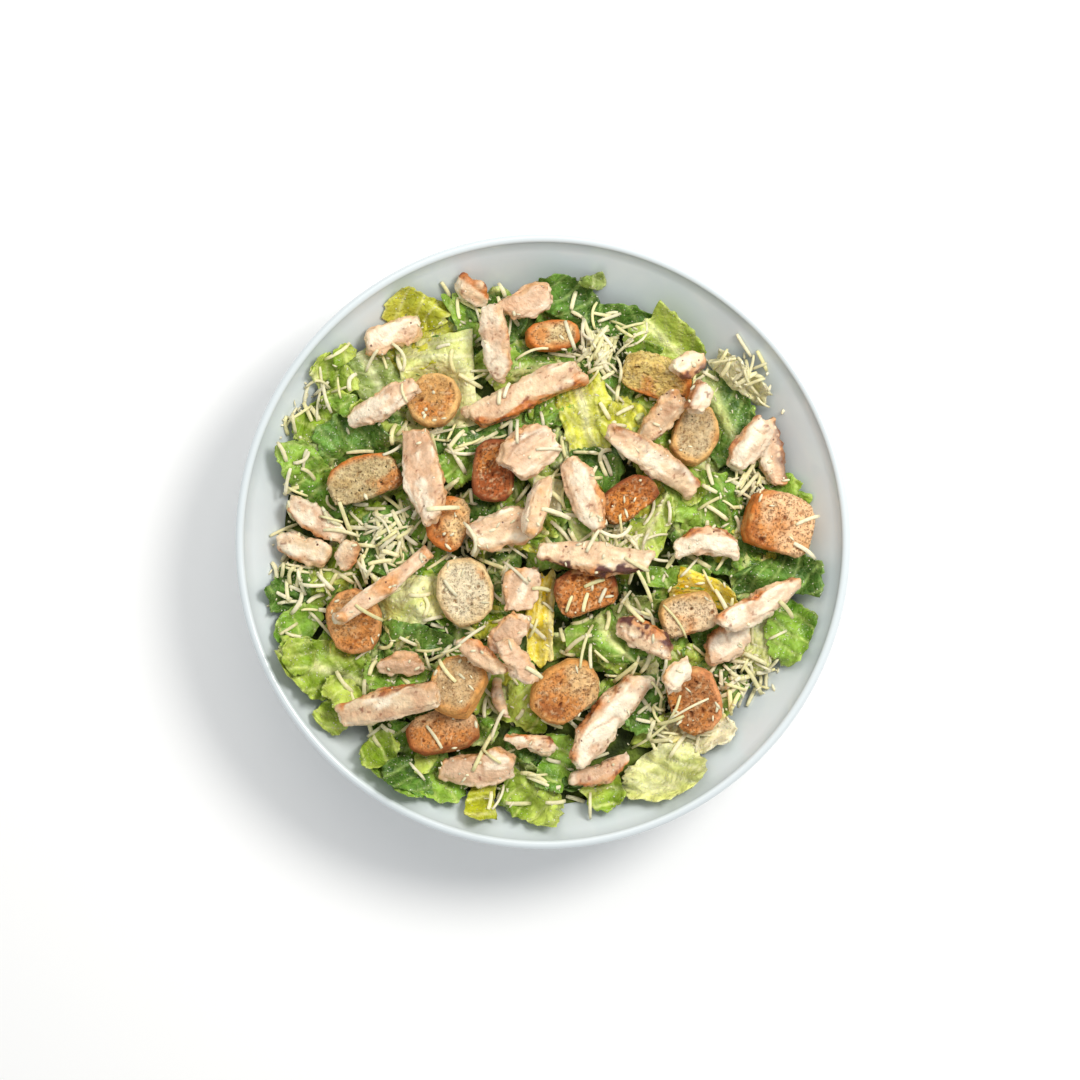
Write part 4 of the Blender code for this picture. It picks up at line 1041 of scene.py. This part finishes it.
def lay_leaf(leaf, number, spacing, sink, room, surface, ceiling, heaps):
    """Make one piece of lettuce and lay it over what is there, under the toppings."""
    shape, colours, x, y, length, width, heading, lift, rib = leaf
    rng = random.Random(f"{SEED} {number}")
    rows, columns = max(6, round(length / spacing)), max(5, round(width / spacing))
    along, across = np.meshgrid(np.linspace(-1, 1, rows), np.linspace(-1, 1, columns), indexing="ij")
    relief, veins, ribs, bulge_and_shade = leaf_relief(shape, along, across, length, width, rib, rng)
    plan_x, plan_y = leaf_plan(shape, along, across, rng)
    grid = np.stack((plan_x * length / 2, plan_y * width / 2, relief), axis=-1)
    grid = turn(grid, heading) + (x, y, 0.0)

    free_side = math.atan2(y, x) if math.hypot(x, y) > OUTER_LEAVES else rng.uniform(0, math.tau)
    offset = (grid[..., 0] - x) * math.cos(free_side) + (grid[..., 1] - y) * math.sin(free_side)
    rise = (1 + offset / np.abs(offset).max()) / 2
    grid[..., 0], grid[..., 1] = rein_in(grid[..., 0], grid[..., 1])
    height = grid[..., 2] + ground(grid[..., 0], grid[..., 1]) - LEAF_ROOT - sink
    height += (2 * lift + LEAF_ROOT) * rise

    grid[..., 2] = height
    below = surface.at(grid) + LEAF_THICKNESS / 2 + LEAF_GAP
    height = height + ease_off(np.maximum(below - height, 0))
    above = ceiling.at(grid) - LEAF_THICKNESS / 2 - room
    height = height - ease_off(np.maximum(height - above, 0))
    lowest = wall_ground(grid[..., 0], grid[..., 1]) + LEAF_THICKNESS
    grid[..., 2] = np.maximum(height, lowest)

    tint = leaf_tint(colours, grid, along, across, veins, ribs, bulge_and_shade, rng).reshape(-1, 3)
    # Painted shade: the underside takes the top's colours at 0.8.
    heaps[colours].add(*thick_sheet(grid, LEAF_THICKNESS), np.concatenate((tint, tint * 0.8)))
    close = between(between(grid.swapaxes(0, 1), 3).swapaxes(0, 1), 3)
    surface.raise_to(close + (0.0, 0.0, LEAF_THICKNESS / 2))


def filler_leaves():
    """Small pieces of lettuce that fill the heap between the larger ones."""
    rng = random.Random(SEED)
    for _ in range(FILLER_COUNT):
        angle = rng.uniform(0, math.tau)
        radius = float(heap_reach(angle)) * 0.97 * math.sqrt(rng.random())
        yield (
            rng.choice(("torn", "scrap", "frill", "torn")),
            rng.choices(list(FILLER_COLOURS), FILLER_COLOURS.values())[0],
            radius * math.cos(angle),
            radius * math.sin(angle),
            rng.uniform(*FILLER_LENGTHS),
            rng.uniform(*FILLER_WIDTHS),
            rng.uniform(0, 360),
            rng.uniform(*FILLER_LIFTS),
            rng.choice((0, 1, NO_RIB, NO_RIB)),
        )


def make_lettuce(surface, ceiling):
    """Every piece of lettuce, lowest first, gathered by colour."""
    heaps = {colours: Heap() for colours in LEAF_COLOURS}
    for number, leaf in enumerate(filler_leaves(), 1):
        lay_leaf(leaf, number, FILLER_STEP, FILLER_SINK, FILLER_ROOM, surface, ceiling, heaps)
    for place, leaf in enumerate(LEAVES):
        room = LOWEST_LEAF_ROOM - (LOWEST_LEAF_ROOM - HIGHEST_LEAF_ROOM) * place / len(LEAVES)
        number = FILLER_COUNT + 1 + place
        lay_leaf(leaf, number, LEAF_STEP, 0.0, room, surface, ceiling, heaps)
    return [heap.make(f"lettuce_{colours}") for colours, heap in heaps.items()]


# Toppings.


def remeshed(node, voxel):
    """A fine, slightly softened copy of a solid's mesh."""
    copy = linked("copy", node.data.copy())
    remesh = copy.modifiers.new("remesh", "REMESH")
    remesh.mode = "VOXEL"
    remesh.voxel_size = voxel
    ease = copy.modifiers.new("ease", "SMOOTH")
    ease.factor = 0.5
    ease.iterations = 1
    seen = copy.evaluated_get(bpy.context.evaluated_depsgraph_get())
    mesh = bpy.data.meshes.new_from_object(seen)
    bpy.data.objects.remove(copy)
    mesh.materials.clear()
    return mesh


def axes_of(points):
    """Middle and main directions of a cloud of points, the longest first."""
    middle = (points.max(axis=0) + points.min(axis=0)) / 2
    _, _, axes = np.linalg.svd(points - points.mean(axis=0), full_matrices=False)
    return middle, axes


def outline_reach(local, passes=1, parts=48):
    """How far a slice's outline lies from its middle, in each point's direction. The more passes,
    the softer its corners."""
    share = np.arctan2(local[:, 1], local[:, 0]) / math.tau * parts
    reach = np.zeros(parts)
    np.maximum.at(reach, np.floor(share).astype(int) % parts, np.hypot(local[:, 0], local[:, 1]))
    for _ in range(passes):
        reach = (np.roll(reach, 1) + 2 * reach + np.roll(reach, -1)) / 4
    low = np.floor(share - 0.5).astype(int)
    part = share - 0.5 - low
    return reach[low % parts] * (1 - part) + reach[(low + 1) % parts] * part


class Slice:
    """A fine copy of a topping's solid, with its points also along the solid's main directions."""

    def __init__(self, name, node, voxel, seed_step):
        self.name = name
        self.number = int(name[-2:])
        self.seed = self.number * seed_step
        self.mesh = remeshed(node, voxel)
        self.points, self.normals = vertices_of(self.mesh), normals_of(self.mesh)
        self.middle, self.axes = axes_of(vertices_of(node.data))
        self.local = (self.points - self.middle) @ self.axes.T

    def round_corners(self, passes):
        """Soften the corners of the outline."""
        self.local[:, :2] *= (outline_reach(self.local, passes) / outline_reach(self.local))[:, None]
        self.points = self.middle + self.local @ self.axes

    def inward(self):
        """How far each point lies inside the outline."""
        return outline_reach(self.local) - np.hypot(self.local[:, 0], self.local[:, 1])

    def cloud(self, cell, number):
        """Noise of this slice's own, with lumps about one cell across."""
        return noise(self.points, cell, self.seed + number)

    def fibres(self, squeeze, cell, number):
        """Noise drawn out along the slice."""
        return noise(self.local * (squeeze, 1.0, 1.0), cell, self.seed + number)

    def finish(self, kind, slot, push, tint, material, mask=None):
        """The object that takes the topping's place."""
        points = self.points + self.normals * push[:, None]
        self.mesh.vertices.foreach_set("co", points.ravel())
        paint(self.mesh, tint)
        if mask is not None:
            paint(self.mesh, mask, "mask")
        self.mesh.shade_smooth()
        self.mesh.materials.append(material)
        made = linked(f"{self.name}_{kind}", self.mesh)
        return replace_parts(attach(made, "root"), self.name)


def pits(points, cell, share, seed):
    """Depth from 0 to 1 of scattered round holes about half a cell wide."""
    places = points / cell
    base = np.floor(places)
    depth = np.zeros(len(points))
    for corner in itertools.product((-1, 0, 1), repeat=3):
        spot = base + corner
        at = np.stack([(noise(spot, 1.0, seed + axis) + 1) / 2 for axis in range(3)], axis=-1)
        chosen = (noise(spot, 1.0, seed + 4) + 1) / 2
        reach = 0.16 + 0.30 * chosen / share
        away = np.linalg.norm(places - (spot + at), axis=-1)
        hole = np.sqrt(np.clip(1 - (away / reach) ** 2, 0, 1)) * (chosen < share)
        depth = np.maximum(depth, hole)
    return depth


def crumb_holes(bread, inward, size, large_share):
    """Depths from 0 to 1 of a slice's large and small holes, drawn out along the loaf."""
    drift = np.stack([bread.cloud(0.0032, axis) for axis in range(3)], axis=-1)
    places = (bread.local + 0.0016 * drift) * (0.62, 1.0, 1.0)
    large = pits(places, size * 2.4, large_share, bread.seed + 3) * smooth(0.0002, 0.0018, inward)
    return large, pits(places, size * 1.3, 0.30 + 0.6 * large_share, bread.seed + 8)


def crumb_tint(bread, crumb, grain, uneven, toast, towards):
    """Colours of a slice's crumb, with orange and brown where it is toasted."""
    tint = mix(linear(crumb), linear(crumb) * (0.84, 0.76, 0.64), smooth(-0.2, 0.7, uneven))
    toasted = bread.cloud(0.0065, 24) + 0.35 * grain + towards
    level = 1.1 - 1.7 * toast
    tint = coat(tint, ORANGE_CRUMB, 0.85 * smooth(level - 0.4, level + 0.4, toasted))
    return coat(tint, BROWN_CRUMB, 0.75 * smooth(level + 0.5, level + 1.4, toasted))


def make_crouton(name, node, material):
    """One toasted slice: a smooth crust round a porous crumb."""
    bread = Slice(name, node, CROUTON_VOXEL, CROUTON_SEED_STEP)
    look = CROUTON_LOOKS[bread.number]
    crumb, crust, herbs, toast, toast_side, hole_size, large_share, crust_side, crust_spread = look
    bread.round_corners(ROUNDING_PASSES)
    inward = bread.inward()
    uneven, grain = bread.cloud(0.005, 20), bread.cloud(0.0010, 21)
    out = bread.local[:, :2] @ bread.axes[:2, :2]
    bearing = np.degrees(np.arctan2(out[:, 1], out[:, 0]))
    turned = np.abs((bearing - crust_side + 180) % 360 - 180)
    crusted = smooth(crust_spread + CRUST_FADE, crust_spread - CRUST_FADE, turned)
    ring = smooth(CRUST_WIDTH + 0.0004, CRUST_WIDTH - 0.0004, inward + 0.0005 * uneven)
    rim = np.maximum(ring, smooth(0.70, 0.45, np.abs(bread.normals @ bread.axes[2]))) * crusted
    face = 1 - rim

    large, small = crumb_holes(bread, inward, hole_size, large_share)
    push = 0.0006 * bread.cloud(0.008, 22) + 0.00012 * grain + CRUST_HEIGHT * rim
    push += (0.00045 * uneven + 0.00025 * grain - LARGE_HOLE * large - SMALL_HOLE * small) * face

    towards = np.cos(np.radians(bearing - toast_side)) * np.hypot(out[:, 0], out[:, 1]) / 0.010
    tint = crumb_tint(bread, crumb, grain, uneven, toast, towards)
    tint = coat(tint, CREAM_CRUMB, 0.45 * smooth(0.15, 0.75, grain) * face)
    tint = coat(tint, crust, 0.60 * smooth(0.0040, 0.0014, inward) * face * crusted)
    tint = coat(tint, crust, rim)
    tint = coat(tint, LIGHT_CRUST, 0.6 * rim * smooth(0.0, 0.8, bread.cloud(0.0035, 26)))
    tint = coat(tint, BROWN_CRUMB, 0.55 * rim * smooth(0.1, 0.8, bread.cloud(0.0045, 25)))
    # Painted shade: the holes in the crumb are darkened.
    holes = np.maximum(large, 0.7 * small) * face
    tint = mix(tint, tint * (0.42, 0.28, 0.18), smooth(0.15, 0.8, holes))
    # How many pores the face shows, which the material darkens as painted shade.
    porous = face * (0.25 + 1.7 * large_share)
    sprinkled = herbs * face * smooth(-0.15, 0.35, bread.cloud(0.0055, 27))
    mask = np.stack((porous, sprinkled, np.zeros_like(porous)), axis=-1)
    return bread.finish("bread", "crouton", push, tint, material, mask)


def meat_tint(flesh, inward, tone, fibres, split):
    """Colours of a slice of chicken before it is seared: painted highlight on the ridges and near the edge,
    painted shade in the grooves and splits, and darker patches at random.
    """
    # Darker meat in random patches.
    tint = coat(linear(flesh), DARK_MEAT_AND_SHADE, 0.85 * smooth(0.0, 0.8, tone))
    # Painted highlight on the raised ridges.
    tint = coat(tint, MEAT_HIGHLIGHT, 0.8 * smooth(0.1, 0.7, fibres - 0.5 * tone))
    # Painted shade in the grooves.
    tint = coat(tint, DARK_MEAT_AND_SHADE, 0.6 * smooth(-0.1, -0.8, fibres))
    # Painted highlight near the edge.
    tint = coat(tint, MEAT_HIGHLIGHT, 0.5 * smooth(0.0030, 0.0008, inward) * smooth(-0.2, 0.5, tone))
    # Painted shade in the splits.
    return coat(tint, SPLIT_SHADE, 0.6 * split)


def seared(meat, tint, inward, rim, across, tone, browned, charred):
    """The tint with its browned band along one side, burnt bits, char and pepper."""
    patchy = meat.cloud(0.0045, 7)
    deep = 0.0016 + 0.0030 * browned
    band = smooth(deep + 0.0010, deep - 0.0008, inward + 0.0018 * patchy) * smooth(0.1, 0.45, across)
    bits = smooth(0.25, 0.55, meat.cloud(0.0016, 12) + 0.3 * patchy)
    tint = coat(tint, SEARED_EDGE, 0.5 * band + 0.5 * rim * smooth(-0.1, 0.5, patchy))
    tint = coat(tint, BROWNED, 1.5 * browned * band * smooth(-0.7, 0.5, patchy), 0.95)
    tint = coat(tint, BURNT, 1.3 * browned * band * bits, 0.85)
    spots = meat.cloud(0.0050, 8) + 0.5 * meat.cloud(0.0018, 9)
    spots = smooth(-0.25, 0.10, spots) * smooth(0.15, 0.6, across + 0.35 * patchy)
    tint = coat(tint, CHAR, 1.6 * charred * spots, 0.94)
    pepper = smooth(0.52, 0.62, meat.cloud(0.0011, 13)) * smooth(0.1, 0.4, tone + 0.5 * patchy)
    return coat(tint, BURNT, 0.7 * pepper)


def make_chicken(name, node, material):
    """One slice of grilled chicken: smooth cut faces, ragged edges, one long side seared."""
    meat = Slice(name, node, CHICKEN_VOXEL, CHICKEN_SEED_STEP)
    flesh, browned, side, charred = CHICKEN_LOOKS[meat.number]
    if meat.axes[1] @ (0.3, 1.0, 0.0) < 0:
        meat.local[:, 1] *= -1
    inward = meat.inward()
    rim = smooth(0.0022, 0.0004, inward)
    ragged = meat.cloud(0.0070, 0) + 0.7 * meat.cloud(0.0027, 1) + 0.45 * meat.cloud(0.0013, 10)
    grain, ridges = meat.fibres(0.35, 0.0013, 2), meat.fibres(0.22, 0.0042, 3)
    flap = meat.fibres(0.8, 0.0090, 4)
    split = smooth(0.07, 0.0, np.abs(flap)) * smooth(0.0, 0.4, meat.cloud(0.008, 5))
    push = RAGGED_EDGE * rim * ragged + FLAP_HEIGHT * flap + RIDGE_HEIGHT * ridges
    push += GRAIN_HEIGHT * grain - SPLIT_DEPTH * split
    tone = meat.cloud(0.0075, 6) + 0.4 * meat.cloud(0.0025, 11)
    tint = meat_tint(flesh, inward, tone, 0.5 * grain + ridges, split)
    across = side * meat.local[:, 1] / np.abs(meat.local[:, 1]).max()
    tint = seared(meat, tint, inward, rim, across, tone, browned, charred)
    return meat.finish("meat", "chicken", push, tint, material)


# Cheese.


def shred(x, y, heading, length, bend, surface, rng):
    """Corners and middle line of a shred that lies across the high places below it, or nothing
    where it would leave the bowl."""
    steps = np.linspace(-1, 1, SHRED_STEPS)
    along = steps * length / 2
    aside = bend * length * (1 - steps ** 2) + 0.08 * bend * length * np.sin(3 * steps)
    line = turn(np.stack((along, aside, np.zeros_like(along)), axis=-1), heading) + (x, y, 0.0)
    if np.hypot(line[:, 0], line[:, 1]).max() > SHRED_REACH:
        return None
    away = np.abs(along[:, None] - along[None, :])
    rigid = (surface.at(line)[None, :] - SHRED_SLOPE * away).max(axis=1)
    height = rigid.copy()
    for first, last in itertools.combinations(range(SHRED_STEPS), 2):
        inside = slice(first, last + 1)
        share = (along[inside] - along[first]) / (along[last] - along[first])
        height[inside] = np.maximum(height[inside], rigid[first] + share * (rigid[last] - rigid[first]))
    line[:, 2] = height + SHRED_THICKNESS / 2
    run = np.gradient(line, axis=0)
    run /= np.linalg.norm(run, axis=1)[:, None]
    sideways = np.cross(run, (0.0, 0.0, 1.0))
    sideways /= np.linalg.norm(sideways, axis=1)[:, None]
    up = np.cross(sideways, run)
    half_width = SHRED_WIDTH * rng.uniform(*SHRED_WIDTHS) / 2
    narrow = np.array([(1 - SHRED_TAPER * abs(step) ** 6) * rng.uniform(0.93, 1.06) for step in steps])
    section = np.array(SHRED_SECTION) * narrow[:, None, None]
    corners = line[:, None] + sideways[:, None] * section[..., :1] * half_width
    corners += up[:, None] * section[..., 1:] * SHRED_THICKNESS / 2
    return corners.reshape(-1, 3), line


def tube_faces(rings, sides):
    """Faces of a tube with closed ends."""
    faces = [tuple(range(sides))[::-1], tuple(range((rings - 1) * sides, rings * sides))]
    for low, step in itertools.product(range(0, (rings - 1) * sides, sides), range(sides)):
        after = (step + 1) % sides
        high = low + sides
        faces.append((low + step, low + after, high + after, high + step))
    return faces


def any_place(rng):
    """A spot in one of the piles, or anywhere on the heap."""
    if rng.random() < SHREDS_IN_PILES:
        x, y, spread, _ = rng.choices(CHEESE_PILES, [pile[3] for pile in CHEESE_PILES])[0]
        return x + rng.gauss(0, spread * 0.6), y + rng.gauss(0, spread * 0.6)
    angle = rng.uniform(0, math.tau)
    radius = float(heap_reach(angle)) * math.sqrt(rng.random())
    return radius * math.cos(angle), radius * math.sin(angle)


def is_bare(x, y):
    """True on the leaves that carry little cheese."""
    return any(math.hypot(x - spot_x, y - spot_y) < reach for spot_x, spot_y, reach in BARE_SPOTS)


def place_for_cheese(rng):
    """A spot for cheese, with little of it on the bare leaves."""
    x, y = any_place(rng)
    while is_bare(x, y) and rng.random() > SHARE_ON_BARE:
        x, y = any_place(rng)
    return x, y


def strewn_shreds(count, lengths, rng):
    """Shreds at random."""
    for _ in range(count):
        x, y = place_for_cheese(rng)
        bend = rng.gauss(0, CURLED_BEND if rng.random() < CURLED_SHARE else USUAL_BEND)
        yield x, y, rng.uniform(0, 180), rng.triangular(*lengths), bend


def lay_shreds(heap, shreds, surface, rng, undersides=None):
    """Lay shreds over what is there. One that would cross a topping is left out."""
    tube = tube_faces(SHRED_STEPS, len(SHRED_SECTION))
    for place in shreds:
        made = shred(*place, surface, rng)
        if made is None:
            continue
        corners, line = made
        if undersides and (line[:, 2] + SHRED_THICKNESS > undersides.at(line)).any():
            continue
        shade = rng.uniform(0.80, 1.04)
        heap.add(corners, tube, linear(CHEESE) * (shade, shade, shade * rng.uniform(0.72, 1.04)))
        surface.raise_to(between(line, 4) + (0.0, 0.0, SHRED_THICKNESS / 2))


def make_crumbs(surface, rng, name, count, sizes):
    """Small grains of cheese, each an uneven lump."""
    shape = bmesh.new()
    bmesh.ops.create_icosphere(shape, subdivisions=1, radius=1)
    lump = np.array([vertex.co for vertex in shape.verts])
    sides = [[vertex.index for vertex in face.verts] for face in shape.faces]
    shape.free()
    heap = Heap()
    for _ in range(count):
        x, y = place_for_cheese(rng)
        if math.hypot(x, y) > SHRED_REACH:
            continue
        size = rng.uniform(*sizes)
        stretch = (rng.uniform(1.0, 3.6), rng.uniform(0.8, 1.2), rng.uniform(0.6, 0.9))
        uneven = 1 + 0.2 * noise(lump * 1.7 + rng.random() * 50, 1.0, 3)
        points = turn(lump * uneven[:, None] * stretch * size, rng.uniform(0, 360))
        height = float(surface.at(np.array((x, y, 0.0)))) + size * 0.3
        heap.add(points + (x, y, height), sides, linear(CHEESE) * rng.uniform(0.8, 1.05))
    return heap.make(name)


# Floor, light and camera.


def make_stage():
    """A plain white floor, a soft light from the upper right, a wide one from above and the sky."""
    corners = [(x, y, 0.0) for x, y in ((-1, -1), (1, -1), (1, 1), (-1, 1))]
    floor = mesh_object("floor", np.array(corners) * FLOOR_REACH, [(0, 1, 2, 3)])
    floor.data.materials.append(floor_material())

    for name, place, size, power in LIGHTS:
        data = bpy.data.lights.new(name, "AREA")
        data.shape = "DISK"
        data.size = size
        data.energy = power
        data.color = LIGHT_COLOUR
        lamp = linked(name, data)
        lamp.location = place
        lamp.rotation_euler = (-Vector(place)).to_track_quat("-Z", "Y").to_euler()

    world = bpy.data.worlds.new("sky")
    world.use_nodes = True
    background = world.node_tree.nodes["Background"]
    background.inputs["Color"].default_value = (*SKY_COLOUR, 1.0)
    background.inputs["Strength"].default_value = SKY_STRENGTH
    bpy.context.scene.world = world
    bpy.context.scene.view_settings.view_transform = "Standard"


def make_camera():
    """The camera, straight above the bowl."""
    data = bpy.data.cameras.new("camera")
    data.lens = CAMERA_LENS
    data.sensor_width = CAMERA_SENSOR
    camera = linked("camera", data)
    camera.location = (*CAMERA_CENTRE, BOWL_HEIGHT + CAMERA_HEIGHT)
    bpy.context.scene.camera = camera


def make_toppings(toppings, surface):
    """Every crouton and slice of chicken, each in its solid's place."""
    bread, meat = bread_material(), meat_material()
    for name, node in toppings.items():
        crouton = name.startswith("crouton")
        make, material = (make_crouton, bread) if crouton else (make_chicken, meat)
        made = make(name, node, material)
        surface.raise_to(surface_samples(made.data, MESH_SAMPLES))


def make_heap(toppings):
    """The heap's inside, lettuce and cheese, with the toppings laid between."""
    undersides = HeightMap(lambda x, y: np.full_like(x, np.inf))
    for node in toppings.values():
        undersides.lower_to(surface_samples(node.data, SOLID_SAMPLES))
    undersides.height -= TOPPING_CLEARANCE
    ceiling = HeightMap(lambda x, y: undersides.height.copy())
    ceiling.slope_down(CEILING_REACH, CEILING_SLOPE)
    surface = HeightMap(core_top)

    core = make_core()
    leaves = make_lettuce(surface, ceiling)
    rng = random.Random(SEED + 1)
    low, top = Heap(), Heap()
    lay_shreds(low, strewn_shreds(LOW_SHREDS, LOW_LENGTHS, rng), surface, rng, undersides)
    cheese = [low.make("cheese_shreds_low")]
    cheese.append(make_crumbs(surface, rng, "cheese_crumbs", CRUMB_COUNT, CRUMB_SIZES))
    make_toppings(toppings, surface)
    cheese.append(make_crumbs(surface, rng, "cheese_crumbs_top", TOP_CRUMB_COUNT, TOP_CRUMB_SIZES))
    lay_shreds(top, PLACED_SHREDS, surface, rng)
    lay_shreds(top, strewn_shreds(TOP_SHREDS, TOP_LENGTHS, rng), surface, rng)
    cheese.append(top.make("cheese_shreds_top"))

    for pieces, material in (
        ([core], shade_material()),
        (leaves, leaf_material()),
        (cheese, cheese_material()),
    ):
        for made in pieces:
            made.data.materials.append(material)
            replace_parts(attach(made, "root"), "lettuce")


def main():
    """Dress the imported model."""
    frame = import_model()
    make_camera()
    make_stage()
    make_bowl()
    make_heap({
        name: node for name, node in frame["nodes"].items() if name.startswith(("crouton", "chicken"))
    })


main()
